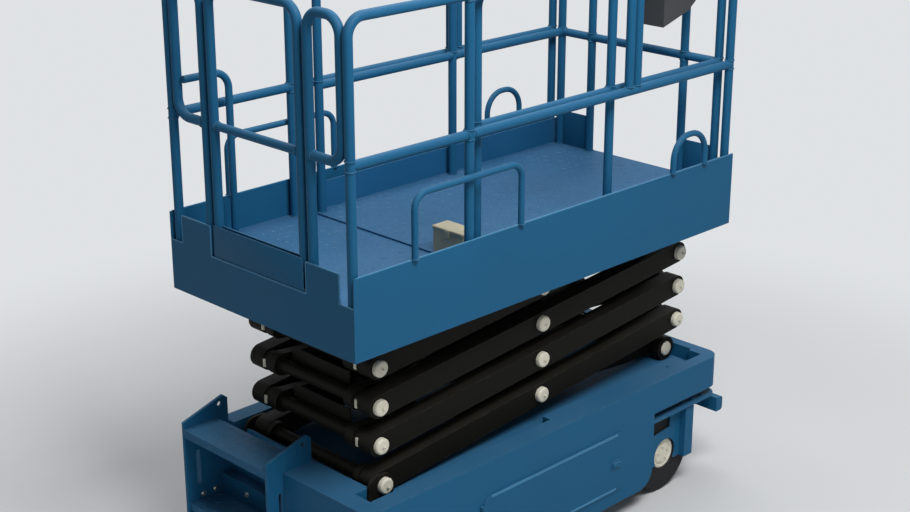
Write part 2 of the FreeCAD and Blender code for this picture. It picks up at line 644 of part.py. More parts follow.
def arm_outline(rear_r, front_r):
    """Side view of one arm along its own length, thinned towards a roller end if asked."""
    def end_points(r, x, direction):
        if r >= ARM_HALF_H:
            return V(x, 0, ARM_HALF_H), V(x, 0, -ARM_HALF_H), V(x + direction * ARM_HALF_H, 0, 0), []
        return (V(x, 0, r), V(x, 0, -r), V(x + direction * r, 0, 0), [x - direction * TAPER_LENGTH])
    rear_top, rear_low, rear_mid, rear_cut = end_points(rear_r, 0, -1)
    front_top, front_low, front_mid, front_cut = end_points(front_r, ARM_LENGTH, 1)
    edges = [Part.Arc(rear_low, rear_mid, rear_top).toShape()]
    last = rear_top
    for x in rear_cut + front_cut:
        point = V(x, 0, ARM_HALF_H)
        edges.append(Part.LineSegment(last, point).toShape())
        last = point
    edges.append(Part.LineSegment(last, front_top).toShape())
    edges.append(Part.Arc(front_top, front_mid, front_low).toShape())
    last = front_low
    for x in front_cut + rear_cut:
        point = V(x, 0, -ARM_HALF_H)
        edges.append(Part.LineSegment(last, point).toShape())
        last = point
    edges.append(Part.LineSegment(last, rear_low).toShape())
    return Part.Face(Part.Wire(edges))


def place_arm(shape, level, rising):
    """Lay an arm made along +X onto its two end pins, rising or falling towards the front."""
    angle = -ARM_ANGLE if rising else ARM_ANGLE
    start = level_z(level) if rising else level_z(level + 1)
    shape.rotate(V(0, 0, 0), V(0, 1, 0), angle)
    shape.translate(V(PIVOT_REAR_X, 0, start))
    return shape


def outer_arms(stage):
    """Left and right outer arms of a stage, low at the rear and high at the front."""
    front_r = ROLLER_END_R if stage == STAGES else ARM_HALF_H
    plate = arm_outline(ARM_HALF_H, front_r)
    plate.translate(V(0, OUTER_ARM_Y, 0))
    arm = plate.extrude(V(0, OUTER_ARM_T, 0))
    outer_face = OUTER_ARM_Y + OUTER_ARM_T
    boss_y0 = INNER_ARM_Y + INNER_ARM_T + BOSS_T + FIT_GAP
    inner_bosses = [0, ARM_LENGTH / 2, ARM_LENGTH]
    if stage == 1:
        inner_bosses.remove(0)
        arm = arm.fuse(rod_y(0, 0, BASE_COLLAR_R, outer_face, outer_face + BASE_COLLAR_T))
    if stage == STAGES:
        inner_bosses.remove(ARM_LENGTH)
    for x in inner_bosses:
        arm = arm.fuse(rod_y(x, 0, BOSS_R, boss_y0, OUTER_ARM_Y))
    for x in (0, ARM_LENGTH / 2, ARM_LENGTH):
        arm = arm.cut(rod_y(x, 0, PIN_R, INNER_ARM_Y, outer_face + BASE_COLLAR_T))
    pair = Part.makeCompound([arm, mirrored(arm)])
    return place_arm(pair, stage - 1, True)


def inner_arms(stage):
    """Left and right inner arms welded to cross tubes, high at the rear and low at the front."""
    front_r = ROLLER_END_R if stage == 1 else ARM_HALF_H
    plate = arm_outline(ARM_HALF_H, front_r)
    plate.translate(V(0, INNER_ARM_Y, 0))
    arm = plate.extrude(V(0, INNER_ARM_T, 0))
    outer_face = INNER_ARM_Y + INNER_ARM_T
    boss_xs = [0, ARM_LENGTH / 2, ARM_LENGTH]
    if stage == STAGES:
        boss_xs.remove(0)
    if stage == 1:
        boss_xs.remove(ARM_LENGTH)
    for x in boss_xs:
        arm = arm.fuse(rod_y(x, 0, BOSS_R, outer_face, outer_face + BOSS_T))
    for x in (0, ARM_LENGTH / 2, ARM_LENGTH):
        arm = arm.cut(rod_y(x, 0, PIN_R + FIT_GAP, INNER_ARM_Y, outer_face + BOSS_T))
    pieces = [arm, mirrored(arm)]
    for x in (0, ARM_LENGTH):
        pieces.append(rod_y(x, 0, CROSS_TUBE_R, -INNER_ARM_Y, INNER_ARM_Y))
    if stage == 1:
        pieces += cylinder_lugs(ARM_LENGTH * (1 - BASE_SHARE), 0)
    if stage == 2:
        pieces += cylinder_lugs(ARM_LENGTH * (1 - EYE_SHARE), EYE_OFFSET)
    joined = fuse(pieces)
    if stage == 1:
        reach = EYE_HALF_W + EYE_GAP + LUG_T
        joined = joined.cut(rod_y(ARM_LENGTH * (1 - BASE_SHARE), 0, PIN_R, -reach, reach))
    return place_arm(joined, stage - 1, False)


def cylinder_lugs(x, height):
    """Split cross tube with a lug each side of a cylinder eye, the eye standing over the tube."""
    gap = EYE_HALF_W + EYE_GAP
    pieces = []
    for side in (1, -1):
        lug = rod_y(x, height, EYE_R, gap, gap + LUG_T)
        if height:
            lug = lug.fuse(box(x - EYE_R, x + EYE_R, gap, gap + LUG_T, 0, height))
            lug = lug.fuse(rod_y(x, 0, EYE_R, gap, gap + LUG_T))
            lug = lug.cut(rod_y(x, height, PIN_R + FIT_GAP, gap, gap + LUG_T))
        pieces.append(on_side(rod_y(x, 0, CROSS_TUBE_R + 4, gap, INNER_ARM_Y), side))
        pieces.append(on_side(lug, side))
    return pieces


def domed_head(x, z, y):
    """Domed pin head whose flat back lies at y."""
    ring = Part.makeCylinder(PIN_HEAD_R, PIN_HEAD_T, V(x, y, z), V(0, 1, 0))
    edge = [e for e in ring.Edges if abs(e.BoundBox.YMin - (y + PIN_HEAD_T)) < 0.1]
    return ring.makeFillet(PIN_DOME_R, edge)


def arm_pins(stage):
    """Pins of one pair of outer arms, each with a domed head; the last stage has the top rollers."""
    mid_x = (PIVOT_REAR_X + PIVOT_FRONT_X) / 2
    mid_z = (level_z(stage - 1) + level_z(stage)) / 2
    outer_face = OUTER_ARM_Y + OUTER_ARM_T
    # Pin centres: x, z, inner end of the shank, back of the head
    shank_y0 = INNER_ARM_Y + FIT_GAP
    spots = [(mid_x, mid_z, shank_y0, outer_face)]
    if stage == 1:
        base_y0 = INNER_ARM_Y + INNER_ARM_T + 1 + FIT_GAP
        spots.append((PIVOT_REAR_X, PIVOT_Z, base_y0, outer_lug_y() + OUTER_LUG_T))
    else:
        spots.append((PIVOT_REAR_X, level_z(stage - 1), shank_y0, outer_face))
    if stage < STAGES:
        spots.append((PIVOT_FRONT_X, level_z(stage), shank_y0, outer_face))
    half = []
    for x, z, start, head_y in spots:
        half.append(fuse([rod_y(x, z, PIN_R, start, head_y), domed_head(x, z, head_y)]))
    if stage == STAGES:
        half.append(top_roller())
    return Part.makeCompound(half + [mirrored(piece) for piece in half])


def top_roller():
    """Roller and its stub pin at the front top end of the last outer arm."""
    y0 = OUTER_ARM_Y + OUTER_ARM_T
    stub = rod_y(PIVOT_FRONT_X, level_z(STAGES), PIN_R, OUTER_ARM_Y, y0 + TRACK_GAP + TRACK_ROLLER_W)
    wheel = rod_y(PIVOT_FRONT_X, level_z(STAGES), TRACK_ROLLER_R, y0 + TRACK_GAP + 2,
                  y0 + TRACK_GAP + TRACK_ROLLER_W)
    return fuse([stub, wheel])


def lower_rollers():
    """Wide rollers on the front lower ends of the first inner arms; they run on the well floor."""
    y0 = INNER_ARM_Y + INNER_ARM_T
    stub = rod_y(PIVOT_FRONT_X, PIVOT_Z, PIN_R, INNER_ARM_Y, y0 + 1)
    wheel = rod_y(PIVOT_FRONT_X, PIVOT_Z, ROLLER_R, y0 + 1, y0 + 1 + ROLLER_W)
    roller = fuse([stub, wheel])
    return Part.makeCompound([roller, mirrored(roller)])


def on_inner_arm(stage, share, height):
    """A point at a share of an inner arm's length from its front pin, and a height over its axis."""
    angle = math.radians(ARM_ANGLE)
    x = PIVOT_FRONT_X - share * ARM_RUN + height * math.sin(angle)
    z = level_z(stage - 1) + share * ARM_RISE + height * math.cos(angle)
    return V(x, 0, z)


def cylinder_line():
    """Stowed ends of the lift cylinder and the unit vector from its base to its rod eye."""
    base = on_inner_arm(1, BASE_SHARE, 0)
    eye = on_inner_arm(2, EYE_SHARE, EYE_OFFSET)
    return base, eye, (eye - base).normalize()


def lift_cylinder_barrel():
    """Barrel with its base eye, and a gland at the rod end."""
    base, eye, along = cylinder_line()
    barrel_end = base.distanceToPoint(eye) - EYE_R - GLAND_SETBACK
    tube_start = EYE_R - EYE_SINK
    tube = Part.makeCylinder(BARREL_R, barrel_end - tube_start, base + along * tube_start, along)
    gland = Part.makeCylinder(GLAND_R, GLAND_L, base + along * (barrel_end - GLAND_L), along)
    eye_ring = rod_y(base.x, base.z, EYE_R, -EYE_HALF_W, EYE_HALF_W)
    barrel = fuse([tube, gland, eye_ring])
    bore = Part.makeCylinder(ROD_R + FIT_GAP, barrel_end, base + along * (EYE_R + 20), along)
    pin_hole = rod_y(base.x, base.z, PIN_R + FIT_GAP, -EYE_HALF_W, EYE_HALF_W)
    return barrel.cut(bore).cut(pin_hole)


def lift_cylinder_rod():
    """Chromed rod with the eye at its upper end."""
    base, eye, along = cylinder_line()
    start = EYE_R + 30
    length = base.distanceToPoint(eye) - start - EYE_R + EYE_SINK
    rod = Part.makeCylinder(ROD_R, length, base + along * start, along)
    ring = rod_y(eye.x, eye.z, EYE_R, -EYE_HALF_W, EYE_HALF_W)
    hole = rod_y(eye.x, eye.z, PIN_R + FIT_GAP, -EYE_HALF_W, EYE_HALF_W)
    return fuse([rod, ring]).cut(hole)


def cylinder_base_pin():
    """Pin through the lugs of the first inner arms and the barrel's eye."""
    base = cylinder_line()[0]
    reach = EYE_HALF_W + EYE_GAP + LUG_T
    return rod_y(base.x, base.z, PIN_R, -reach, reach)


# Platform

def platform_deck():
    """Deck plate on its cross members."""
    inner = PLATFORM_HALF_W - SKIRT_T
    rear = PLATFORM_REAR_X + SKIRT_T
    front = PLATFORM_FRONT_X - SKIRT_T
    pieces = [box(rear, front, -inner, inner, DECK_Z - DECK_T, DECK_Z)]
    under = DECK_Z - DECK_T
    for share in MEMBER_SHARES:
        x = PLATFORM_REAR_X + share * (PLATFORM_FRONT_X - PLATFORM_REAR_X)
        pieces.append(box(x, x + MEMBER_W, -inner + SKIRT_FLANGE, inner - SKIRT_FLANGE,
                          under - MEMBER_H, under))
    return fuse(pieces)


def upper_tracks():
    """C-shaped roller tracks under the deck, and the lugs and pins of the upper pivots."""
    y0 = OUTER_ARM_Y + OUTER_ARM_T + TRACK_GAP
    y1 = y0 + TRACK_W
    z = level_z(STAGES)
    under = DECK_Z - DECK_T - MEMBER_H
    low = z - TRACK_ROLLER_R - 1
    high = z + TRACK_ROLLER_R + 1
    profile = [(y0, low - TRACK_T), (y1, low - TRACK_T), (y1, under), (y1 - TRACK_T, under),
               (y1 - TRACK_T, high + TRACK_T), (y0, high + TRACK_T), (y0, high), (y1 - TRACK_T, high),
               (y1 - TRACK_T, low), (y0, low)]
    corners = [V(TRACK_REAR_X, y, level) for y, level in profile]
    face = Part.Face(Part.makePolygon(corners + corners[:1]))
    track = face.extrude(V(TRACK_FRONT_X - TRACK_REAR_X, 0, 0))
    lug_x0 = PIVOT_REAR_X - LUG_HALF_L
    lug_x1 = PIVOT_REAR_X + LUG_HALF_L
    lug_ys = (INNER_ARM_Y + INNER_ARM_T + TRACK_GAP, INNER_ARM_Y + INNER_ARM_T + TRACK_GAP + 2.4 * LUG_T)
    pieces = [rod_y(PIVOT_REAR_X, z, PIN_R, INNER_ARM_Y + FIT_GAP, lug_ys[1] + LUG_T + TRACK_GAP)]
    for lug_y in lug_ys:
        pieces.append(rounded_plate_y(lug_x0, lug_x1, z - LUG_HALF_L, under,
                                      (LUG_CORNER_R, LUG_CORNER_R, 0, 0), lug_y, lug_y + LUG_T))
    pieces.append(box(lug_x0, lug_x1, lug_ys[0], lug_ys[1] + LUG_T, under - 8, DECK_Z - DECK_T))
    half = [track, fuse(pieces)]
    return Part.makeCompound(half + [mirrored(piece) for piece in half])


def platform_skirt():
    """Side and end plates round the deck, with the gate notch and corner notches in the rear one."""
    outer = PLATFORM_HALF_W
    inner = outer - SKIRT_T
    x0 = PLATFORM_REAR_X
    x1 = PLATFORM_FRONT_X
    rear = box(x0, x0 + SKIRT_T, -inner, inner, SKIRT_BOTTOM_Z, SKIRT_TOP_Z)
    rear = rear.cut(box(x0, x0 + SKIRT_T, -NOTCH_HALF_W, NOTCH_HALF_W, NOTCH_Z, SKIRT_TOP_Z))
    pieces = []
    for side in (1, -1):
        wall = box(x0, x1, inner, outer, SKIRT_BOTTOM_Z, SKIRT_TOP_Z)
        flange = box(x0, x1, inner - SKIRT_FLANGE, inner, SKIRT_BOTTOM_Z, SKIRT_BOTTOM_Z + SKIRT_T)
        pieces += [on_side(wall, side), on_side(flange, side)]
        corner = box(x0, x0 + SKIRT_T, CORNER_NOTCH_Y, inner, CORNER_NOTCH_Z, SKIRT_TOP_Z)
        rear = rear.cut(on_side(corner, side))
    pieces.append(rear)
    pieces.append(box(x0, x0 + SILL_W, -NOTCH_HALF_W, NOTCH_HALF_W, NOTCH_Z - SKIRT_T, NOTCH_Z))
    pieces.append(box(x0 + SILL_W - SKIRT_T, x0 + SILL_W, -NOTCH_HALF_W, NOTCH_HALF_W, DECK_Z, NOTCH_Z))
    pieces.append(box(x1 - SKIRT_T, x1, -inner, inner, SKIRT_BOTTOM_Z, DECK_Z))
    return fuse(pieces)


def side_rail(side):
    """Fixed side guard: mid rail, posts, and two closed loops above the mid rail."""
    y = RAIL_Y
    rear_end = LOOP_SPLIT_X - LOOP_SPLIT_GAP / 2
    front_start = LOOP_SPLIT_X + LOOP_SPLIT_GAP / 2
    pieces = [straight_tube(V(REAR_RAIL_X, y, MID_RAIL_Z), V(FRONT_POST_X, y, MID_RAIL_Z))]
    for x in (REAR_RAIL_X, SIDE_POST_X, FRONT_POST_X):
        pieces.append(straight_tube(V(x, y, DECK_Z), V(x, y, MID_RAIL_Z)))
    for xa, xb in ((REAR_RAIL_X, rear_end), (front_start, FRONT_POST_X)):
        pieces.append(bent_tube([V(xa, y, MID_RAIL_Z), V(xa, y, TOP_RAIL_Z),
                                 V(xb, y, TOP_RAIL_Z), V(xb, y, MID_RAIL_Z)], TUBE_R, BEND_R))
    pieces.append(straight_tube(V(SIDE_POST_X, y, MID_RAIL_Z), V(SIDE_POST_X, y, TOP_RAIL_Z)))
    return on_side(fuse(pieces), side)


def rear_guard(side):
    """Fixed guard panel beside the gate: the gate post and a loop that returns to it."""
    x = REAR_RAIL_X
    corners = [(GATE_POST_Y, DECK_Z), (GATE_POST_Y, TOP_RAIL_Z), (PANEL_OUTER_Y, TOP_RAIL_Z),
               (PANEL_OUTER_Y, MID_RAIL_Z), (GATE_POST_Y, MID_RAIL_Z)]
    pieces = [bent_tube([V(x, y, z) for y, z in corners], TUBE_R, BEND_R)]
    if side > 0:
        hinge_x = x + GATE_HINGE_INSET
        hinge_y = (GATE_HALF_W + GATE_POST_Y) / 2
        for z in GATE_HINGE_LEVELS:
            for lug_z in (z - HINGE_LUG_H - 1, z + HINGE_H + 1):
                lug = box(hinge_x - HINGE_LEAF_T, hinge_x + 1, hinge_y, GATE_POST_Y - 5,
                          lug_z, lug_z + HINGE_LUG_H)
                pieces.append(lug.fuse(rod_z(hinge_x, hinge_y, HINGE_R, lug_z, lug_z + HINGE_LUG_H)))
            pieces.append(rod_z(hinge_x, hinge_y, HINGE_PIN_R, z - HINGE_LUG_H - HINGE_PIN_OUT,
                                z + HINGE_H + HINGE_LUG_H + HINGE_PIN_OUT))
    return on_side(fuse(pieces), side)


def entry_gate():
    """Swinging gate: closed tube frame, mid bar and toe plate, hung on two hinge eyes."""
    x = REAR_RAIL_X
    w = GATE_HALF_W
    top = TOP_RAIL_Z + GATE_RISE
    corners = [(0, GATE_LOW_Z), (w, GATE_LOW_Z), (w, top), (0, top)]
    half_loop = bent_tube([V(x, y, z) for y, z in corners], TUBE_R, BEND_R)
    bar = straight_tube(V(x, -w, MID_RAIL_Z), V(x, w, MID_RAIL_Z), GATE_BAR_R)
    toe = box(x - GATE_TOE_T / 2, x + GATE_TOE_T / 2, -w - GATE_TOE_GAP, w + GATE_TOE_GAP,
              NOTCH_Z + GATE_TOE_GAP, GATE_TOE_TOP_Z)
    pieces = [half_loop, mirrored(half_loop), bar, toe]
    hinge_x = x + GATE_HINGE_INSET
    hinge_y = (GATE_HALF_W + GATE_POST_Y) / 2
    for z in GATE_HINGE_LEVELS:
        pieces.append(box(hinge_x - HINGE_LEAF_T, hinge_x, w, hinge_y, z, z + HINGE_H))
        pieces.append(rod_z(hinge_x, hinge_y, HINGE_R, z, z + HINGE_H))
    gate = fuse(pieces)
    for z in GATE_HINGE_LEVELS:
        gate = gate.cut(rod_z(hinge_x, hinge_y, HINGE_PIN_R + FIT_GAP, z, z + HINGE_H))
    return gate


def skirt_hoops():
    """Low tube hoops that stand on the side skirts, used as steps and tie points."""
    y = PLATFORM_HALF_W + 1
    solids = []
    for xa, xb, top, bend in HOOPS:
        path = [V(xa, y, SKIRT_TOP_Z), V(xa, y, top), V(xb, y, top), V(xb, y, SKIRT_TOP_Z)]
        hoop = bent_tube(path, HOOP_R, bend)
        solids += [hoop, mirrored(hoop)]
    return Part.makeCompound(solids)


def grab_rail():
    """Tall grab tube inside the left guard, beside the gate."""
    y = PANEL_OUTER_Y - 2 * TUBE_R
    path = [V(GRAB_X, y, DECK_Z), V(GRAB_X, y, GRAB_Z), V(REAR_RAIL_X, y, GRAB_Z)]
    return bent_tube(path, GRAB_TUBE_R, BEND_R)


# Extension deck

def extension_deck():
    """Sliding deck plate with turned-up side boards."""
    z0 = DECK_Z + EXT_SLIDE_GAP
    z1 = z0 + EXT_T
    pieces = [box(EXT_REAR_X, PLATFORM_FRONT_X, -EXT_TOE_Y, EXT_TOE_Y, z0, z1)]
    for side in (1, -1):
        board = box(EXT_REAR_X, PLATFORM_FRONT_X, EXT_TOE_Y - EXT_TOE_T, EXT_TOE_Y, z1, EXT_TOE_TOP_Z)
        pieces.append(on_side(board, side))
    return fuse(pieces)


def extension_rail(side):
    """Side guard of the extension deck, nested inside the fixed guard."""
    y = EXT_RAIL_Y
    z0 = DECK_Z + EXT_SLIDE_GAP + EXT_T
    pieces = [straight_tube(V(EXT_REAR_POST_X, y, MID_RAIL_Z), V(EXT_GUARD_X, y, MID_RAIL_Z))]
    for x in (EXT_REAR_POST_X, EXT_MID_POST_X, EXT_GUARD_X):
        pieces.append(straight_tube(V(x, y, z0), V(x, y, MID_RAIL_Z)))
    pieces.append(bent_tube([V(EXT_REAR_POST_X, y, MID_RAIL_Z), V(EXT_REAR_POST_X, y, TOP_RAIL_Z),
                             V(EXT_GUARD_X, y, TOP_RAIL_Z), V(EXT_GUARD_X, y, MID_RAIL_Z)], TUBE_R, BEND_R))
    pieces.append(straight_tube(V(EXT_MID_POST_X, y, MID_RAIL_Z), V(EXT_MID_POST_X, y, TOP_RAIL_Z)))
    return on_side(fuse(pieces), side)


def front_guard():
    """Front guard between the extension's side guards."""
    x = EXT_GUARD_X
    z0 = DECK_Z + EXT_SLIDE_GAP + EXT_T
    end = EXT_RAIL_Y - TUBE_R - FIT_GAP
    pieces = [straight_tube(V(x, -end, z), V(x, end, z)) for z in (MID_RAIL_Z, TOP_RAIL_Z)]
    for y in (-EXT_GUARD_POST_Y, EXT_GUARD_POST_Y):
        pieces.append(straight_tube(V(x, y, z0), V(x, y, TOP_RAIL_Z)))
    return fuse(pieces)


def control_box():
    """Platform control box hung inside the right-hand guard."""
    y1 = -(EXT_RAIL_Y - TUBE_R - FIT_GAP)
    outline = [(x, CONTROL_TOP_Z - drop) for x, drop in CONTROL_OUTLINE]
    pieces = [prism_y(outline, y1, y1 + CONTROL_BOX_W)]
    for x in CONTROL_HANGER_XS:
        pieces.append(box(x, x + CONTROL_HANGER_L, y1 - TUBE_R, y1 + 10, CONTROL_HANGER_Z,
                          TOP_RAIL_Z - TUBE_R - FIT_GAP))
    return fuse(pieces)


def document_box():
    """Tan document box at the rear edge of the extension deck."""
    x0, x1, y0, y1, height = DOCUMENT_BOX
    z0 = DECK_Z + EXT_SLIDE_GAP + EXT_T
    return box(x0, x1, y0, y1, z0, z0 + height)


PARTS = {
    "chassis_frame": chassis_frame(),
    "chassis_side_left": chassis_side(1),
    "chassis_side_right": chassis_side(-1),
    "base_pivots": base_pivots(),
    "rear_ladder": rear_ladder(),
    "front_bumper": front_bumper(),
    "rear_axle": rear_axle(),
    "side_door_left": side_door(1),
    "side_door_right": side_door(-1),
    "battery_tray_left": battery_tray(1),
    "battery_tray_right": battery_tray(-1),
    "steering_knuckle_left": steering_knuckle(1),
    "steering_knuckle_right": steering_knuckle(-1),
    "lower_rollers": lower_rollers(),
    "lift_cylinder_barrel": lift_cylinder_barrel(),
    "lift_cylinder_rod": lift_cylinder_rod(),
    "cylinder_base_pin": cylinder_base_pin(),
    "platform_deck": platform_deck(),
    "upper_tracks": upper_tracks(),
    "platform_skirt": platform_skirt(),
    "side_rail_left": side_rail(1),
    "side_rail_right": side_rail(-1),
    "rear_guard_left": rear_guard(1),
    "rear_guard_right": rear_guard(-1),
    "entry_gate": entry_gate(),
    "skirt_hoops": skirt_hoops(),
    "grab_rail": grab_rail(),
    "extension_deck": extension_deck(),
    "extension_rail_left": extension_rail(1),
    "extension_rail_right": extension_rail(-1),
    "front_guard": front_guard(),
    "control_box": control_box(),
    "document_box": document_box(),
}
for end, wheel_x in (("front", FRONT_WHEEL_X), ("rear", REAR_WHEEL_X)):
    for name, hand in (("left", 1), ("right", -1)):
        PARTS["tyre_%s_%s" % (end, name)] = tyre(wheel_x, hand)
        PARTS["wheel_hub_%s_%s" % (end, name)] = wheel_hub(wheel_x, hand)
for number in range(1, STAGES + 1):
    PARTS["outer_arms_%d" % number] = outer_arms(number)
    PARTS["inner_arms_%d" % number] = inner_arms(number)
    PARTS["arm_pins_%d" % number] = arm_pins(number)

os.makedirs("parts", exist_ok=True)
for node, shape in PARTS.items():
    shape.exportStep("parts/%s.step" % node)
    print(node, len(shape.Solids), shape.isValid(), round(shape.Volume / 1e6, 2))
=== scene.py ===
import json
import math

import bmesh
import bpy
from mathutils import Matrix, Vector


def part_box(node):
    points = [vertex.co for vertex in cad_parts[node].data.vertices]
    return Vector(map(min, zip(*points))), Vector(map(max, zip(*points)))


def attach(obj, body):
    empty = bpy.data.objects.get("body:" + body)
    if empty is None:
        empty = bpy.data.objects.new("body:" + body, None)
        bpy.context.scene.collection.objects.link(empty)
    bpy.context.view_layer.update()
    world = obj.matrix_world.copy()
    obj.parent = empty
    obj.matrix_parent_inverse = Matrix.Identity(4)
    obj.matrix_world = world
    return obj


with open("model.json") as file:
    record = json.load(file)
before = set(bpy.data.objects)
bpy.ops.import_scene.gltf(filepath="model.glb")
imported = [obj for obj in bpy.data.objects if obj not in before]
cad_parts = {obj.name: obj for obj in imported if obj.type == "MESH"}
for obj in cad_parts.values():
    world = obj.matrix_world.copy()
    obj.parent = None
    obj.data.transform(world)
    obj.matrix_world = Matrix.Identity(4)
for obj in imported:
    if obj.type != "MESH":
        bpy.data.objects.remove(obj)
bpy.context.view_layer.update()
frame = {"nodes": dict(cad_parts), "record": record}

# Studio: a pale floor that fades into a pale backdrop, a large soft box over the machine, one
# high over its right flank and a weak one low behind it, so that decks read bright, flanks at
# half tone and the rear darkest.
FLOOR_REACH = 60.0
FLOOR_COLOUR = (0.62, 0.63, 0.64, 1.0)
FLOOR_ROUGHNESS = 0.85
FADE_FROM = 1.7
FADE_TO = 4.2
AIR_COLOUR = (0.80, 0.84, 0.88, 1.0)
AIR_LEVEL = 0.15
BACKDROP_COLOUR = (0.74, 0.76, 0.78, 1.0)
# Name, place, point it faces, width, height and watts of each lamp
SOFT_BOXES = (
    ("soft_box_above", (1.2, 1.6, 6.2), (0.0, 0.0, 1.2), 5.0, 4.0, 200.0),
    ("soft_box_right", (-0.9, -3.5, 6.2), (0.0, 0.0, 1.0), 3.0, 2.4, 380.0),
    ("soft_box_low", (-3.2, -5.2, 2.2), (-0.9, 0.0, 0.5), 2.0, 1.6, 30.0),
)

scene = bpy.context.scene
scene.view_settings.view_transform = "Standard"


def add_node(tree, kind, inputs=None, **settings):
    """Add a node, set its properties, and give each input a value or another node's output."""
    node = tree.nodes.new(kind)
    for name, value in settings.items():
        setattr(node, name, value)
    for key, value in (inputs or {}).items():
        if isinstance(value, bpy.types.NodeSocket):
            tree.links.new(value, node.inputs[key])
        else:
            node.inputs[key].default_value = value
    return node


def looked_at(tree):
    """Factor that is 1 for camera, glossy and transmission rays, and 0 for the light itself."""
    rays = add_node(tree, "ShaderNodeLightPath").outputs
    some = add_node(tree, "ShaderNodeMath", {0: rays["Is Camera Ray"], 1: rays["Is Glossy Ray"]},
                    operation="ADD")
    every = add_node(tree, "ShaderNodeMath", {0: some.outputs[0], 1: rays["Is Transmission Ray"]},
                     operation="ADD", use_clamp=True)
    return every.outputs[0]


def mixed(tree, factor, first, second, end):
    """Mix two shaders by a factor and join the result to the surface of the tree's end node."""
    mix = add_node(tree, "ShaderNodeMixShader", {0: factor, 1: first.outputs[0], 2: second.outputs[0]})
    tree.links.new(mix.outputs[0], tree.nodes[end].inputs["Surface"])


world = bpy.data.worlds.new("studio_air")
scene.world = world
world.use_nodes = True
air_tree = world.node_tree
air = air_tree.nodes["Background"]
air.inputs["Color"].default_value = AIR_COLOUR
air.inputs["Strength"].default_value = AIR_LEVEL
backdrop = add_node(air_tree, "ShaderNodeBackground", {"Color": BACKDROP_COLOUR})
mixed(air_tree, looked_at(air_tree), air, backdrop, "World Output")

floor_corners = [(x * FLOOR_REACH, y * FLOOR_REACH, 0.0)
                 for x, y in ((-1, -1), (1, -1), (1, 1), (-1, 1))]
floor_mesh = bpy.data.meshes.new("studio_floor")
floor_mesh.from_pydata(floor_corners, [], [(0, 1, 2, 3)])
floor = bpy.data.objects.new("studio_floor", floor_mesh)
scene.collection.objects.link(floor)
floor_paint = bpy.data.materials.new("matt_studio_floor")
floor_paint.use_nodes = True
floor_tree = floor_paint.node_tree
floor_shader = floor_tree.nodes["Principled BSDF"]
floor_shader.inputs["Base Color"].default_value = FLOOR_COLOUR
floor_shader.inputs["Roughness"].default_value = FLOOR_ROUGHNESS
floor_place = add_node(floor_tree, "ShaderNodeTexCoord")
floor_far = add_node(floor_tree, "ShaderNodeVectorMath", {
    0: floor_place.outputs["Object"]}, operation="LENGTH")
floor_fade = add_node(floor_tree, "ShaderNodeMapRange", {
    "From Min": FADE_FROM, "From Max": FADE_TO, "Value": floor_far.outputs["Value"],
}, interpolation_type="SMOOTHSTEP")
floor_seen = add_node(floor_tree, "ShaderNodeMath", {
    0: looked_at(floor_tree), 1: floor_fade.outputs["Result"],
}, operation="MULTIPLY")
floor_glow = add_node(floor_tree, "ShaderNodeEmission", {"Color": BACKDROP_COLOUR})
mixed(floor_tree, floor_seen.outputs[0], floor_shader, floor_glow, "Material Output")
floor_mesh.materials.append(floor_paint)


def soft_box(name, place, aim, width, height, watts):
    """Rectangular lamp at a place, facing a point."""
    lamp = bpy.data.lights.new(name, "AREA")
    lamp.shape = "RECTANGLE"
    lamp.size = width
    lamp.size_y = height
    lamp.energy = watts
    holder = bpy.data.objects.new(name, lamp)
    holder.location = place
    holder.rotation_euler = (Vector(aim) - Vector(place)).to_track_quat("-Z", "Y").to_euler()
    scene.collection.objects.link(holder)


for soft_box_row in SOFT_BOXES:
    soft_box(*soft_box_row)

# Camera: the photographer stood behind the machine on its right, a little above the deck. Place,
# direction and lens come from a camera fitted to the photograph.
CAMERA_PLACE = (-4.683, -4.601, 3.591)
CAMERA_LOOK = (0.6658, 0.6651, -0.3382)
CAMERA_LENS = 64.33

camera_data = bpy.data.cameras.new("camera")
camera_data.lens = CAMERA_LENS
camera = bpy.data.objects.new("camera", camera_data)
camera.location = CAMERA_PLACE
camera.rotation_euler = Vector(CAMERA_LOOK).to_track_quat("-Z", "Y").to_euler()
scene.collection.objects.link(camera)
scene.camera = camera

# Chassis weldment: folded and welded steel plate under blue enamel that has dulled outdoors,
# with paler rubbed edges, fine orange peel and a little dust on what faces up.
CHASSIS_BLUE = (0.012, 0.098, 0.205)
CHASSIS_RUBBED = (0.09, 0.20, 0.30)


def name_sockets(tree, inputs, outputs):
    """Name the inputs of a node group, with their defaults, and its outputs."""
    for name, kind, default in inputs:
        socket = tree.interface.new_socket(name, in_out="INPUT", socket_type=kind)
        if default is not None:
            socket.default_value = default
    for name, kind in outputs:
        tree.interface.new_socket(name, in_out="OUTPUT", socket_type=kind)


def start_skin(name, inputs):
    """Shader group that puts out colour, roughness and height; returns it with what it starts from."""
    tree = bpy.data.node_groups.new(name, "ShaderNodeTree")
    name_sockets(tree, inputs, [("Color", "NodeSocketColor"), ("Roughness", "NodeSocketFloat"),
                                ("Height", "NodeSocketFloat")])
    given = add_node(tree, "NodeGroupInput").outputs
    made = add_node(tree, "NodeGroupOutput").inputs
    place = add_node(tree, "ShaderNodeTexCoord").outputs["Object"]
    return tree, given, made, place


def noise(tree, place, scale, detail):
    """Noise over the piece, as a value of about 0 to 1."""
    field = add_node(tree, "ShaderNodeTexNoise", {"Scale": scale, "Detail": detail, "Vector": place})
    return field.outputs["Fac"]


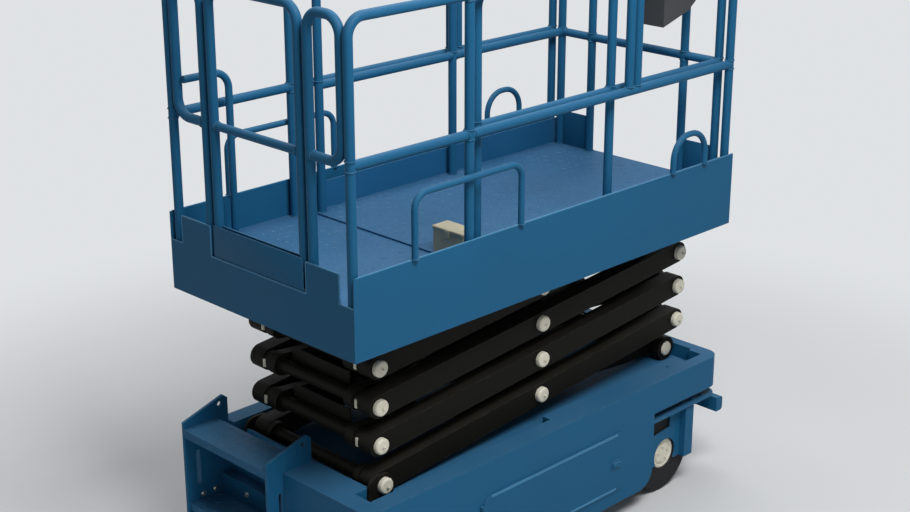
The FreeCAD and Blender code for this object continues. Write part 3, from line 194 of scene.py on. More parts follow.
def drifting(tree, given, colour, field, spread):
    """Colour and roughness that drift about their middle values with a field."""
    centred = add_node(tree, "ShaderNodeMath", {0: field, 1: 0.5}, operation="SUBTRACT").outputs[0]
    swing = add_node(tree, "ShaderNodeMath", {0: centred, 1: given["Drift"], 2: 1.0},
                     operation="MULTIPLY_ADD")
    tinted = add_node(tree, "ShaderNodeVectorMath", {0: given[colour], "Scale": swing.outputs[0]},
                      operation="SCALE")
    rough = add_node(tree, "ShaderNodeMath", {0: centred, 1: spread, 2: given["Base Roughness"]},
                     operation="MULTIPLY_ADD")
    return tinted.outputs[0], rough.outputs[0]


def ranged(tree, value, low, high):
    """Value brought from the range low to high to 0 to 1."""
    node = add_node(tree, "ShaderNodeMapRange", {"From Min": low, "From Max": high, "Value": value})
    return node.outputs["Result"]


def product(tree, first, second):
    """Product of two values, kept between 0 and 1."""
    node = add_node(tree, "ShaderNodeMath", {0: first, 1: second}, operation="MULTIPLY", use_clamp=True)
    return node.outputs[0]


def blended(tree, factor, first, second):
    """Two colours blended by a factor."""
    node = add_node(tree, "ShaderNodeMix", {"Factor": factor, "A": first, "B": second}, data_type="RGBA")
    return node.outputs["Result"]


def make_worn_paint_group():
    """Paint whose colour drifts, with rubbed edges, dusty upper faces and orange peel."""
    tree, given, made, place = start_skin("worn_paint", [
        ("Paint", "NodeSocketColor", (0.06, 0.19, 0.38, 1.0)),
        ("Rubbed", "NodeSocketColor", (0.30, 0.42, 0.52, 1.0)),
        ("Dust", "NodeSocketColor", (0.33, 0.31, 0.27, 1.0)),
        ("Drift", "NodeSocketFloat", 0.12),
        ("Wear", "NodeSocketFloat", 0.5),
        ("Dustiness", "NodeSocketFloat", 0.12),
        ("Base Roughness", "NodeSocketFloat", 0.42),
    ])
    # Slow drift of colour and roughness, as on sun-faded panels
    clouds = noise(tree, place, scale=2.3, detail=5.0)
    drifted, rough = drifting(tree, given, "Paint", clouds, spread=0.22)
    # Rubbed edges, where the rounded normal leaves the flat one, broken up by a fine grain
    shape = add_node(tree, "ShaderNodeNewGeometry").outputs["Normal"]
    rounded = add_node(tree, "ShaderNodeBevel", {"Radius": 0.004}, samples=2).outputs["Normal"]
    bend = add_node(tree, "ShaderNodeVectorMath", {0: rounded, 1: shape}, operation="DOT_PRODUCT")
    edge = ranged(tree, bend.outputs["Value"], low=0.995, high=0.90)
    patches = ranged(tree, noise(tree, place, scale=38.0, detail=4.0), low=0.42, high=0.60)
    worn = product(tree, product(tree, edge, patches), given["Wear"])
    paint_or_rub = blended(tree, worn, drifted, given["Rubbed"])
    # Dust lies on what faces up, in soft patches, and dulls it
    facing = add_node(tree, "ShaderNodeSeparateXYZ", {0: shape}).outputs["Z"]
    dusty = product(tree, product(tree, facing, clouds), given["Dustiness"])
    tree.links.new(blended(tree, dusty, paint_or_rub, given["Dust"]), made["Color"])
    duller = add_node(tree, "ShaderNodeMath", {0: dusty, 1: 0.9, 2: rough}, operation="MULTIPLY_ADD",
                      use_clamp=True)
    tree.links.new(duller.outputs[0], made["Roughness"])
    # Orange peel
    tree.links.new(noise(tree, place, scale=210.0, detail=2.0), made["Height"])
    return tree


worn_paint = make_worn_paint_group()


def coated(name, skin_group, values, bump_strength, bump_depth):
    """Material whose colour, roughness and bump come from a skin group; returned with its shader."""
    material = bpy.data.materials.new(name)
    material.use_nodes = True
    tree = material.node_tree
    shader = tree.nodes["Principled BSDF"]
    skin = add_node(tree, "ShaderNodeGroup", values, node_tree=skin_group)
    bump = add_node(tree, "ShaderNodeBump", {
        "Strength": bump_strength, "Distance": bump_depth, "Height": skin.outputs["Height"]})
    tree.links.new(bump.outputs["Normal"], shader.inputs["Normal"])
    tree.links.new(skin.outputs["Color"], shader.inputs["Base Color"])
    tree.links.new(skin.outputs["Roughness"], shader.inputs["Roughness"])
    return material, shader


def painted(name, paint, rubbed, roughness, drift, wear, dust, peel=0.05, gloss=0.18):
    """Painted metal with its own values in the shared worn paint group."""
    values = {"Paint": (*paint, 1.0), "Rubbed": (*rubbed, 1.0), "Drift": drift, "Wear": wear,
              "Dustiness": dust, "Base Roughness": roughness}
    material, shader = coated(name, worn_paint, values, bump_strength=peel, bump_depth=0.001)
    shader.inputs["Specular IOR Level"].default_value = gloss
    return material


def finish_nodes(material, *names):
    """Give CAD nodes a material."""
    for name in names:
        mesh = frame["nodes"][name].data
        mesh.materials.clear()
        mesh.materials.append(material)


chassis_enamel = painted("chassis_blue_enamel", CHASSIS_BLUE, CHASSIS_RUBBED,
                         roughness=0.46, drift=0.20, wear=0.6, dust=0.10, gloss=0.09)
finish_nodes(chassis_enamel, "chassis_frame", "chassis_side_left", "chassis_side_right", "rear_ladder",
             "front_bumper", "side_door_left", "side_door_right", "steering_knuckle_left",
             "steering_knuckle_right")

# Hex screws with washers hold the bumper, the ladder and the plates at the chassis's front end.
# They are zinc plated, and those of the plates are painted over. One tree sets a washer and a
# head on each point it is given.
ZINC = (0.50, 0.51, 0.50)
WASHER_T = 0.003
HEAD_TAPER = 0.9
HEAD_LIFT = (0.0, 0.0, 0.001)
UP = (0.0, 0.0, 1.0)
LEFT = (0.0, 1.0, 0.0)
RIGHT = (0.0, -1.0, 0.0)
REARWARD = (-1.0, 0.0, 0.0)
FORWARD = (1.0, 0.0, 0.0)
BUMPER_BOLTS_Y = (-0.41, -0.16, 0.16, 0.41)
CHEEK_T = 0.012
RISER_X = -0.985
RISER_BOLT_Z = 0.330
RISER_BOLTS_Y = (0.331, 0.141)
CHEEK_BOLTS_XZ = ((-1.083, 0.310), (-1.020, 0.310), (-1.083, 0.582))
SHELF_Z = 0.415
SHELF_SCREW_Y = 0.518
SHELF_SCREWS_X = (0.894, 0.961, 1.025)
TOP_PLATE_Z = 0.605
TOP_SCREW_X = 0.823
TOP_SCREW_Y = 0.475
# What a tree's inputs are made as, by the kind of their default
SOCKET_KINDS = {float: "NodeSocketFloat", int: "NodeSocketInt", tuple: "NodeSocketVector"}


def make_metal_grain_group():
    """Bare or plated metal with fine grain and slight stains."""
    tree, given, made, place = start_skin("metal_grain", [
        ("Metal", "NodeSocketColor", (*ZINC, 1.0)),
        ("Drift", "NodeSocketFloat", 0.20),
        ("Grain Scale", "NodeSocketFloat", 140.0),
        ("Base Roughness", "NodeSocketFloat", 0.39),
    ])
    stain = noise(tree, place, scale=given["Grain Scale"], detail=3.0)
    tinted, rough = drifting(tree, given, "Metal", stain, spread=0.18)
    tree.links.new(tinted, made["Color"])
    tree.links.new(rough, made["Roughness"])
    tree.links.new(stain, made["Height"])
    return tree


metal_grain = make_metal_grain_group()


def brushed_metal(name, metal, roughness, grain=140.0, drift=0.20):
    """Metal with its own values in the shared grain group."""
    values = {"Metal": (*metal, 1.0), "Drift": drift, "Grain Scale": grain, "Base Roughness": roughness}
    material, shader = coated(name, metal_grain, values, bump_strength=0.08, bump_depth=0.0005)
    shader.inputs["Metallic"].default_value = 1.0
    return material


zinc = brushed_metal("zinc_plate", ZINC, roughness=0.39)


def start_tree(name, sizes, finish):
    """Geometry tree with points, named sizes and a finish as inputs; returned with its two ends."""
    tree = bpy.data.node_groups.new(name, "GeometryNodeTree")
    inputs = [("Geometry", "NodeSocketGeometry", None)]
    for label, default in sizes.items():
        inputs.append((label, SOCKET_KINDS[type(default)], default))
    inputs.append(("Finish", "NodeSocketMaterial", finish))
    name_sockets(tree, inputs, [("Geometry", "NodeSocketGeometry")])
    return tree, add_node(tree, "NodeGroupInput").outputs, add_node(tree, "NodeGroupOutput").inputs


def joined(tree, *parts):
    """Several geometries as one."""
    join = add_node(tree, "GeometryNodeJoinGeometry")
    for part in parts:
        tree.links.new(part, join.inputs["Geometry"])
    return join.outputs["Geometry"]


def turned_to_direction(tree):
    """Rotation that turns +Z to the direction stored on each point."""
    stored = add_node(tree, "GeometryNodeInputNamedAttribute", {"Name": "direction"},
                      data_type="FLOAT_VECTOR")
    turn = add_node(tree, "FunctionNodeAlignRotationToVector", {"Vector": stored.outputs["Attribute"]},
                    axis="Z")
    return turn.outputs["Rotation"]


def set_on_points(tree, points, part, rotation, given, made, **more):
    """Copy a part on to points, make the copies real, give them the finish, and end the tree."""
    placed = add_node(tree, "GeometryNodeInstanceOnPoints", {
        "Points": points, "Instance": part, "Rotation": rotation, **more})
    real = add_node(tree, "GeometryNodeRealizeInstances", {"Geometry": placed.outputs["Instances"]})
    coat = add_node(tree, "GeometryNodeSetMaterial", {
        "Geometry": real.outputs["Geometry"], "Material": given["Finish"]})
    tree.links.new(coat.outputs["Geometry"], made["Geometry"])


def make_screw_tree():
    """Geometry tree: a washer and a hex head on every point, turned to the point's direction."""
    sizes = {"Head Radius": 0.009, "Head Height": 0.007, "Washer Radius": 0.013}
    tree, given, made = start_tree("hex_screws", sizes, zinc)
    washer = add_node(tree, "GeometryNodeMeshCylinder", {
        "Vertices": 20, "Depth": WASHER_T, "Radius": given["Washer Radius"]})
    narrower = add_node(tree, "ShaderNodeMath", {0: given["Head Radius"], 1: HEAD_TAPER},
                        operation="MULTIPLY")
    head = add_node(tree, "GeometryNodeMeshCone", {
        "Vertices": 6, "Depth": given["Head Height"], "Radius Bottom": given["Head Radius"],
        "Radius Top": narrower.outputs[0]})
    lifted = add_node(tree, "GeometryNodeTransform", {
        "Geometry": head.outputs["Mesh"], "Translation": HEAD_LIFT})
    screw = joined(tree, washer.outputs["Mesh"], lifted.outputs["Geometry"])
    set_on_points(tree, given["Geometry"], screw, turned_to_direction(tree), given, made)
    return tree


screw_tree = make_screw_tree()


def link_mesh(name, mesh):
    """Put a mesh in the scene at the origin."""
    piece = bpy.data.objects.new(name, mesh)
    scene.collection.objects.link(piece)
    return piece


def grown(name, places, tree, body, slot, **inputs):
    """Run a geometry tree on (place, direction) points and let the plain result ride on a body."""
    points = bpy.data.meshes.new(name + "_points")
    points.from_pydata([place for place, direction in places], [], [])
    stored = points.attributes.new("direction", "FLOAT_VECTOR", "POINT")
    for item, (place, direction) in zip(stored.data, places):
        item.vector = direction
    seed = link_mesh(name + "_seed", points)
    modifier = seed.modifiers.new("grow", "NODES")
    modifier.node_group = tree
    for item in tree.interface.items_tree:
        label = item.name.lower().replace(" ", "_")
        if item.item_type == "SOCKET" and item.in_out == "INPUT" and label in inputs:
            modifier[item.identifier] = inputs[label]
    graph = bpy.context.evaluated_depsgraph_get()
    mesh = bpy.data.meshes.new_from_object(seed.evaluated_get(graph), depsgraph=graph)
    mesh.name = name
    bpy.data.objects.remove(seed)
    piece = link_mesh(name, mesh)
    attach(piece, body)
    return piece


bumper_low, bumper_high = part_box("front_bumper")
bumper_bolt_x = (bumper_low[0] + bumper_high[0]) / 2
bumper_bolts = [((bumper_bolt_x, y, bumper_high[2]), UP) for y in BUMPER_BOLTS_Y]
grown("bumper_bolts", bumper_bolts, screw_tree, "chassis", "steel")

ladder_low, ladder_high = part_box("rear_ladder")
ladder_bolts = [((RISER_X, y, RISER_BOLT_Z), REARWARD) for y in RISER_BOLTS_Y]
for y, direction in ((ladder_low[1] + CHEEK_T, LEFT), (ladder_high[1] - CHEEK_T, RIGHT)):
    for x, z in CHEEK_BOLTS_XZ:
        ladder_bolts.append(((x, y, z), direction))
grown("ladder_bolts", ladder_bolts, screw_tree, "chassis", "steel")

plate_screws = []
for out in (1.0, -1.0):
    for x in SHELF_SCREWS_X:
        plate_screws.append(((x, out * SHELF_SCREW_Y, SHELF_Z), UP))
    plate_screws.append(((TOP_SCREW_X, out * TOP_SCREW_Y, TOP_PLATE_Z), UP))
grown("plate_screws", plate_screws, screw_tree, "chassis", "steel",
      head_radius=0.008, head_height=0.006, washer_radius=0.011, finish=chassis_enamel)

# Side doors: pressed doors on two hinges each, closed by a paddle latch at the front end. The
# latch is a thin plate with a lever and two screws, painted over with the door. The rolled
# beads along the door's upper and lower edges are a paler blue, a painted highlight for the
# light their edges catch, and their corners are also rubbed pale.
DOOR_FACE_Y = 0.556
LATCH_X = 0.372
LATCH_Z = 0.305
LATCH_PLATE = (0.070, 0.004, 0.044)
PLATE_ROUND = 0.0015
LATCH_PADDLE = (0.046, 0.010, 0.026)
PADDLE_ROUND = 0.004
PADDLE_SHIFT = 0.004
LATCH_SCREWS_X = (-0.029, 0.029)
LATCH_SCREW_RISE = 0.016
# Paler blue of the door beads and the skirt edge strips: a painted highlight, not the paint's own colour
EDGE_HIGHLIGHT_BLUE = (0.040, 0.180, 0.330)
BEAD_DEPTH = 0.006
BEAD_WIDTH = 0.012
BEAD_ROUND = 0.0015
BEAD_INSET = 0.007
BEAD_SHORT = 0.060
SMOOTH_ANGLE = math.radians(35)

# Door beads and skirt edge strips: paler blue as painted highlight, with rubbed corners as wear
door_bead_enamel = painted("door_bead_enamel", EDGE_HIGHLIGHT_BLUE, CHASSIS_RUBBED,
                           roughness=0.42, drift=0.35, wear=0.6, dust=0.10)


def shaded_piece(name, form, material, body):
    """Turn a bmesh into a smooth piece with its material, riding on a body."""
    bmesh.ops.recalc_face_normals(form, faces=form.faces)
    mesh = bpy.data.meshes.new(name)
    form.to_mesh(mesh)
    form.free()
    for face in mesh.polygons:
        face.use_smooth = True
    mesh.set_sharp_from_angle(angle=SMOOTH_ANGLE)
    mesh.materials.append(material)
    piece = link_mesh(name, mesh)
    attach(piece, body)
    return piece


def rounded_block(name, size, place, edge_r, material, body):
    """Block with rounded edges, its middle at a place."""
    form = bmesh.new()
    bmesh.ops.create_cube(form, size=1.0, matrix=Matrix.Diagonal((*size, 1.0)))
    bmesh.ops.bevel(form, geom=form.edges[:], offset=edge_r, segments=3, profile=0.5, affect="EDGES")
    bmesh.ops.translate(form, vec=place, verts=form.verts)
    return shaded_piece(name, form, material, body)


for side, out in (("left", 1.0), ("right", -1.0)):
    door_body = "door_" + side
    door_low, door_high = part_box("side_door_" + side)
    door_face = out * DOOR_FACE_Y
    plate_y = door_face + out * LATCH_PLATE[1] / 2
    paddle_place = (LATCH_X - PADDLE_SHIFT, plate_y + out * PADDLE_SHIFT, LATCH_Z)
    rounded_block("door_latch_plate_" + side, LATCH_PLATE, (LATCH_X, plate_y, LATCH_Z), PLATE_ROUND,
                  chassis_enamel, door_body)
    rounded_block("door_latch_paddle_" + side, LATCH_PADDLE, paddle_place, PADDLE_ROUND, chassis_enamel,
                  door_body)
    latch_screws = []
    for x in LATCH_SCREWS_X:
        screw_place = (LATCH_X + x, plate_y + out * LATCH_PLATE[1] / 2, LATCH_Z + LATCH_SCREW_RISE)
        latch_screws.append((screw_place, (0.0, out, 0.0)))
    grown("door_latch_screws_" + side, latch_screws, screw_tree, door_body, "blue_paint",
          head_radius=0.003, head_height=0.002, washer_radius=0.004, finish=chassis_enamel)
    bead_size = (door_high[0] - door_low[0] - 2 * BEAD_SHORT, BEAD_DEPTH, BEAD_WIDTH)
    bead_x = (door_low[0] + door_high[0]) / 2
    for edge, bead_z in (("upper", door_high[2] - BEAD_INSET), ("lower", door_low[2] + BEAD_INSET)):
        rounded_block("door_bead_%s_%s" % (edge, side), bead_size, (bead_x, door_face, bead_z),
                      BEAD_ROUND, door_bead_enamel, door_body)

# Batteries: black moulded cases on the swing-out tray behind each door, seen when it stands open.
# Each block gets a row of filler caps along its top.
BATTERY_BLACK = (0.020, 0.020, 0.022)
CAP_YELLOW = (0.30, 0.26, 0.10)
CAPS_IN_ROW = 12
# Radius and height of each corner, as in every turned outline below
CAP_OUTLINE = ((0.0, 0.010), (0.011, 0.010), (0.013, 0.007), (0.013, 0.0), (0.0, 0.0))


def make_moulded_grain_group():
    """Moulded plastic with a fine leather grain, slow fading and duller patches."""
    tree, given, made, place = start_skin("moulded_grain", [
        ("Plastic", "NodeSocketColor", (*BATTERY_BLACK, 1.0)),
        ("Drift", "NodeSocketFloat", 0.30),
        ("Base Roughness", "NodeSocketFloat", 0.56),
    ])
    fade = noise(tree, place, scale=6.0, detail=6.0)
    tinted, rough = drifting(tree, given, "Plastic", fade, spread=0.26)
    leather = add_node(tree, "ShaderNodeTexVoronoi", {"Scale": 420.0, "Vector": place})
    tree.links.new(tinted, made["Color"])
    tree.links.new(rough, made["Roughness"])
    tree.links.new(leather.outputs["Distance"], made["Height"])
    return tree


moulded_grain = make_moulded_grain_group()


def moulded_plastic(name, plastic, roughness, drift=0.30, grain=0.12):
    """Plastic with its own values in the shared moulded grain group."""
    values = {"Plastic": (*plastic, 1.0), "Drift": drift, "Base Roughness": roughness}
    material, shader = coated(name, moulded_grain, values, bump_strength=grain, bump_depth=0.0006)
    return material


def lathed(name, outline, place, direction, material, body, steps=28):
    """Turn an (r, height) outline round an axis that leaves a place in a direction."""
    form = bmesh.new()
    points = [form.verts.new((r, 0.0, height)) for r, height in outline]
    edges = [form.edges.new(pair) for pair in zip(points, points[1:])]
    bmesh.ops.spin(form, geom=points + edges, cent=(0, 0, 0), axis=(0, 0, 1), steps=steps,
                   angle=math.tau, use_duplicate=False)
    bmesh.ops.remove_doubles(form, verts=form.verts, dist=1e-6)
    turn = Vector(direction).to_track_quat("Z", "Y").to_matrix().to_4x4()
    bmesh.ops.transform(form, matrix=Matrix.Translation(place) @ turn, verts=form.verts)
    return shaded_piece(name, form, material, body)


battery_case = moulded_plastic("battery_case", BATTERY_BLACK, roughness=0.56)
cap_plastic = moulded_plastic("filler_cap_plastic", CAP_YELLOW, roughness=0.46)
for side in ("left", "right"):
    finish_nodes(battery_case, "battery_tray_" + side)
    tray_low, tray_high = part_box("battery_tray_" + side)
    cap_y = (tray_low[1] + tray_high[1]) / 2
    for number in range(CAPS_IN_ROW):
        cap_x = tray_low[0] + (number + 0.5) * (tray_high[0] - tray_low[0]) / CAPS_IN_ROW
        lathed("battery_cap_%s_%d" % (side, number + 1), CAP_OUTLINE, (cap_x, cap_y, tray_high[2]), UP,
               cap_plastic, "door_" + side, steps=16)

# Wheels: solid black rubber tyres pressed on ivory-enamelled centres, each held by five low nuts
# painted over with the centre. The rubber is scuffed and dusty, and the rear axle is bare steel.
RUBBER = (0.017, 0.017, 0.018)
RUBBER_SCUFF = (0.060, 0.057, 0.052)
IVORY = (0.66, 0.63, 0.52)
IVORY_RUBBED = (0.33, 0.31, 0.26)
BARE_STEEL = (0.52, 0.52, 0.50)
NUT_CIRCLE_R = 0.034
NUTS = 5

rubber = painted("tyre_rubber", RUBBER, RUBBER_SCUFF,
                 roughness=0.78, drift=0.35, wear=0.8, dust=0.30, peel=0.35)
ivory_enamel = painted("ivory_enamel", IVORY, IVORY_RUBBED,
                       roughness=0.38, drift=0.08, wear=0.6, dust=0.20)
bare_steel = brushed_metal("bare_steel", BARE_STEEL, roughness=0.37)
finish_nodes(bare_steel, "rear_axle")
for end in ("front", "rear"):
    for side, out in (("left", 1.0), ("right", -1.0)):
        wheel = "%s_%s" % (end, side)
        finish_nodes(rubber, "tyre_" + wheel)
        finish_nodes(ivory_enamel, "wheel_hub_" + wheel)
        hub_low, hub_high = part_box("wheel_hub_" + wheel)
        hub_x = (hub_low[0] + hub_high[0]) / 2
        hub_z = (hub_low[2] + hub_high[2]) / 2
        face_y = hub_high[1] if out > 0 else hub_low[1]
        nuts = []
        for number in range(NUTS):
            angle = math.tau * number / NUTS
            nut_x = hub_x + NUT_CIRCLE_R * math.sin(angle)
            nut_z = hub_z + NUT_CIRCLE_R * math.cos(angle)
            nuts.append(((nut_x, face_y, nut_z), (0.0, out, 0.0)))
        grown("wheel_nuts_" + wheel, nuts, screw_tree, "wheel_" + wheel, "ivory_paint",
              head_radius=0.007, head_height=0.005, washer_radius=0.009, finish=ivory_enamel)

# Scissor stack: thick arms in dark grey-brown paint, rubbed to a dull grey along their edges, on
# ivory pins. Every pin head carries a grease nipple at its centre, painted over.
ARM_PAINT = (0.0085, 0.0080, 0.0062)
ARM_RUBBED = (0.075, 0.071, 0.062)
NIPPLE_TOP_R = 0.0016
NIPPLE_STAND = 0.002
STAGES = 4

arm_paint = painted("dark_arm_paint", ARM_PAINT, ARM_RUBBED,
                    roughness=0.50, drift=0.30, wear=0.8, dust=0.05, peel=0.08, gloss=0.06)
nipple_enamel = painted("nipple_enamel", IVORY, IVORY_RUBBED,
                        roughness=0.38, drift=0.08, wear=0.05, dust=0.10)
finish_nodes(arm_paint, "base_pivots", "lower_rollers")


def make_nipple_tree():
    """Geometry tree: a grease nipple on every point, turned to the point's direction."""
    sizes = {"Hex Radius": 0.0055, "Hex Height": 0.004, "Tip Radius": 0.003, "Tip Height": 0.007}
    tree, given, made = start_tree("grease_nipples", sizes, nipple_enamel)
    hexagon = add_node(tree, "GeometryNodeMeshCone", {
        "Vertices": 6, "Depth": given["Hex Height"], "Radius Bottom": given["Hex Radius"],
        "Radius Top": given["Hex Radius"]})
    tip = add_node(tree, "GeometryNodeMeshCone", {
        "Vertices": 14, "Depth": given["Tip Height"], "Radius Bottom": given["Tip Radius"],
        "Radius Top": NIPPLE_TOP_R})
    offset = add_node(tree, "ShaderNodeCombineXYZ", {"Z": given["Hex Height"]})
    raised = add_node(tree, "GeometryNodeTransform", {
        "Geometry": tip.outputs["Mesh"], "Translation": offset.outputs[0]})
    nipple = joined(tree, hexagon.outputs["Mesh"], raised.outputs["Geometry"])
    set_on_points(tree, given["Geometry"], nipple, turned_to_direction(tree), given, made)
    return tree


nipple_tree = make_nipple_tree()
base_head_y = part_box("arm_pins_1")[1][1]
arm_head_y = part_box("arm_pins_2")[1][1]
joints = {joint["name"]: joint for joint in frame["record"]["behaviour"]["joints"]}
for number in range(1, STAGES + 1):
    finish_nodes(arm_paint, "outer_arms_%d" % number, "inner_arms_%d" % number)
    finish_nodes(ivory_enamel, "arm_pins_%d" % number)
    middle = joints["centre_pivot_%d" % number]["pos_m"]
    rear = joints["scissor_lift" if number == 1 else "rear_pivot_%d" % (number - 1)]["pos_m"]
    front = (2 * middle[0] - rear[0], 0.0, 2 * middle[2] - rear[2])
    centres = [middle, rear] + ([front] if number < STAGES else [])
    nipples = []
    for centre in centres:
        head_y = base_head_y if number == 1 and centre is rear else arm_head_y
        for out in (1.0, -1.0):
            nipples.append(((centre[0], out * (head_y + NIPPLE_STAND), centre[2]), (0.0, out, 0.0)))
    grown("grease_nipples_%d" % number, nipples, nipple_tree, "outer_arms_%d" % number, "ivory_paint")

# Ivory keeper caps: one on the rear of each welded boss, where the arms meet end to end, and a
# domed cap over the axle of each lower roller. A dark plate is welded on the rear cross tube of
# the inner arms.
KEEPER_SIZE = (0.010, 0.016, 0.038)
KEEPER_ROUND = 0.004
KEEPER_X = -0.042
KEEPER_Y = 0.2815
CROSS_PLATE_SIZE = (0.008, 0.350, 0.078)
CROSS_PLATE_ROUND = 0.002
CROSS_PLATE_X = 0.022
CROSS_PLATE_RISE = 0.046
ROLLER_CAP = ((0.0, 0.010), (0.024, 0.0095), (0.031, 0.007), (0.034, 0.002), (0.034, 0.0), (0.0, 0.0))

for number in range(1, STAGES):
    rear = joints["rear_pivot_%d" % number]["pos_m"]
    for side, out in (("left", 1.0), ("right", -1.0)):
        rounded_block("pivot_keeper_%d_%s" % (number + 1, side), KEEPER_SIZE,
                      (rear[0] + KEEPER_X, out * KEEPER_Y, rear[2]), KEEPER_ROUND, ivory_enamel,
                      "outer_arms_%d" % (number + 1))
    rounded_block("cross_plate_%d" % number, CROSS_PLATE_SIZE,
                  (rear[0] + CROSS_PLATE_X, 0.0, rear[2] + CROSS_PLATE_RISE), CROSS_PLATE_ROUND,
                  arm_paint, "inner_arms_%d" % number)
roller_low, roller_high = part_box("lower_rollers")
roller_x = (roller_low[0] + roller_high[0]) / 2
roller_z = (roller_low[2] + roller_high[2]) / 2
for side, out in (("left", 1.0), ("right", -1.0)):
    lathed("roller_cap_" + side, ROLLER_CAP, (roller_x, out * roller_high[1], roller_z), (0.0, out, 0.0),
           ivory_enamel, "inner_arms_1")

# Lift cylinder: welded barrel painted with the arms, on a bare steel base pin, and a hard-chromed
# rod that stays bright.
CHROME = (0.72, 0.73, 0.74)

chrome = brushed_metal("hard_chrome", CHROME, roughness=0.13, grain=60.0, drift=0.08)
finish_nodes(chrome, "lift_cylinder_rod")
finish_nodes(arm_paint, "lift_cylinder_barrel")
finish_nodes(bare_steel, "cylinder_base_pin")

# Platform: welded deck, skirts and tube guards in the same blue, a shade greyer where hands and
# loads rub them. The deck faces up and has faded most.
PLATFORM_BLUE = (0.012, 0.096, 0.200)
PLATFORM_RUBBED = (0.09, 0.20, 0.29)
DECK_BLUE = (0.014, 0.100, 0.225)
DECK_RUBBED = (0.12, 0.23, 0.34)

platform_enamel = painted("platform_blue_enamel", PLATFORM_BLUE, PLATFORM_RUBBED,
                          roughness=0.46, drift=0.18, wear=0.65, dust=0.09, gloss=0.09)
deck_enamel = painted("deck_blue_enamel", DECK_BLUE, DECK_RUBBED,
                      roughness=0.54, drift=0.22, wear=0.8, dust=0.12, gloss=0.12)
finish_nodes(deck_enamel, "platform_deck", "extension_deck")
finish_nodes(platform_enamel, "upper_tracks", "platform_skirt", "side_rail_left", "side_rail_right",
             "rear_guard_left", "rear_guard_right", "entry_gate", "skirt_hoops", "grab_rail",
             "extension_rail_left", "extension_rail_right", "front_guard")

# Tread pattern: low lozenges pressed in the steel of the deck plates and the ladder's steps, each
# turned the other way from its neighbours so that a boot grips both ways.
TREAD_PITCH = 0.046
TREAD_EDGE = 0.030
TREAD_SINK = 0.0001
LOZENGE_TOP = 0.30
DECK_BORDER = 0.04
SLIDE_SIDE_BORDER = 0.01
SLIDE_FRONT_BORDER = 0.03
SLIDE_TOP_Z = 1.4233
STEP_Y = (-0.030, 0.502)
TOP_STEP_X = (-1.165, -0.995)
TOP_STEP_Z = 0.635
LOW_STEP_X = (-1.155, -0.985)
LOW_STEP_Z = 0.290


def make_tread_tree():
    """Geometry tree: a grid of low lozenges, leaning left and right in turn."""
    sizes = {"Length": 0.5, "Width": 0.5, "Lozenge Length": 0.034, "Lozenge Width": 0.010,
             "Lozenge Height": 0.0018, "Rows": 10, "Columns": 11, "Middle": (0.0, 0.0, 0.0)}
    tree, given, made = start_tree("tread_lozenges", sizes, deck_enamel)
    grid = add_node(tree, "GeometryNodeMeshGrid", {
        "Size X": given["Length"], "Size Y": given["Width"], "Vertices X": given["Rows"],
        "Vertices Y": given["Columns"]})
    moved = add_node(tree, "GeometryNodeTransform", {
        "Geometry": grid.outputs["Mesh"], "Translation": given["Middle"]})
    lozenge = add_node(tree, "GeometryNodeMeshCone", {
        "Vertices": 4, "Radius Bottom": 0.5, "Radius Top": LOZENGE_TOP, "Depth": 1.0})
    scale = add_node(tree, "ShaderNodeCombineXYZ", {
        "X": given["Lozenge Length"], "Y": given["Lozenge Width"], "Z": given["Lozenge Height"]})
    number = add_node(tree, "GeometryNodeInputIndex")
    odd = add_node(tree, "ShaderNodeMath", {0: number.outputs[0], 1: 2.0}, operation="MODULO")
    lean = add_node(tree, "ShaderNodeMath", {0: odd.outputs[0], 1: math.pi / 2, 2: -math.pi / 4},
                    operation="MULTIPLY_ADD")
    turn = add_node(tree, "ShaderNodeCombineXYZ", {"Z": lean.outputs[0]})
    set_on_points(tree, moved.outputs["Geometry"], lozenge.outputs["Mesh"], turn.outputs[0], given, made,
                  Scale=scale.outputs[0])
    return tree


tread_tree = make_tread_tree()


def tread(name, x_ends, y_ends, z, body, slot, finish):
    """Lozenges over a rectangle of plate, an odd number across so that neighbours lean apart."""
    length = x_ends[1] - x_ends[0] - 2 * TREAD_EDGE
    width = y_ends[1] - y_ends[0] - 2 * TREAD_EDGE
    rows = int(length / TREAD_PITCH) + 1
    columns = int(width / TREAD_PITCH / 2) * 2 + 1
    centre = (sum(x_ends) / 2, sum(y_ends) / 2, z - TREAD_SINK)
    grown(name, [((0.0, 0.0, 0.0), UP)], tread_tree, body, slot, length=length, width=width,
          rows=rows, columns=columns, middle=centre, finish=finish)


deck_low, deck_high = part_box("platform_deck")
slide_low, slide_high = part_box("extension_deck")
tread("deck_tread", (deck_low[0] + DECK_BORDER, slide_low[0]),
      (deck_low[1] + DECK_BORDER, deck_high[1] - DECK_BORDER), deck_high[2],
      "platform", "deck_plate", deck_enamel)
tread("extension_tread", (slide_low[0], slide_high[0] - SLIDE_FRONT_BORDER),
      (slide_low[1] + SLIDE_SIDE_BORDER, slide_high[1] - SLIDE_SIDE_BORDER), SLIDE_TOP_Z,
      "extension", "deck_plate", deck_enamel)
tread("ladder_tread_top", TOP_STEP_X, STEP_Y, TOP_STEP_Z, "chassis", "blue_paint", chassis_enamel)
tread("ladder_tread_low", LOW_STEP_X, STEP_Y, LOW_STEP_Z, "chassis", "blue_paint", chassis_enamel)

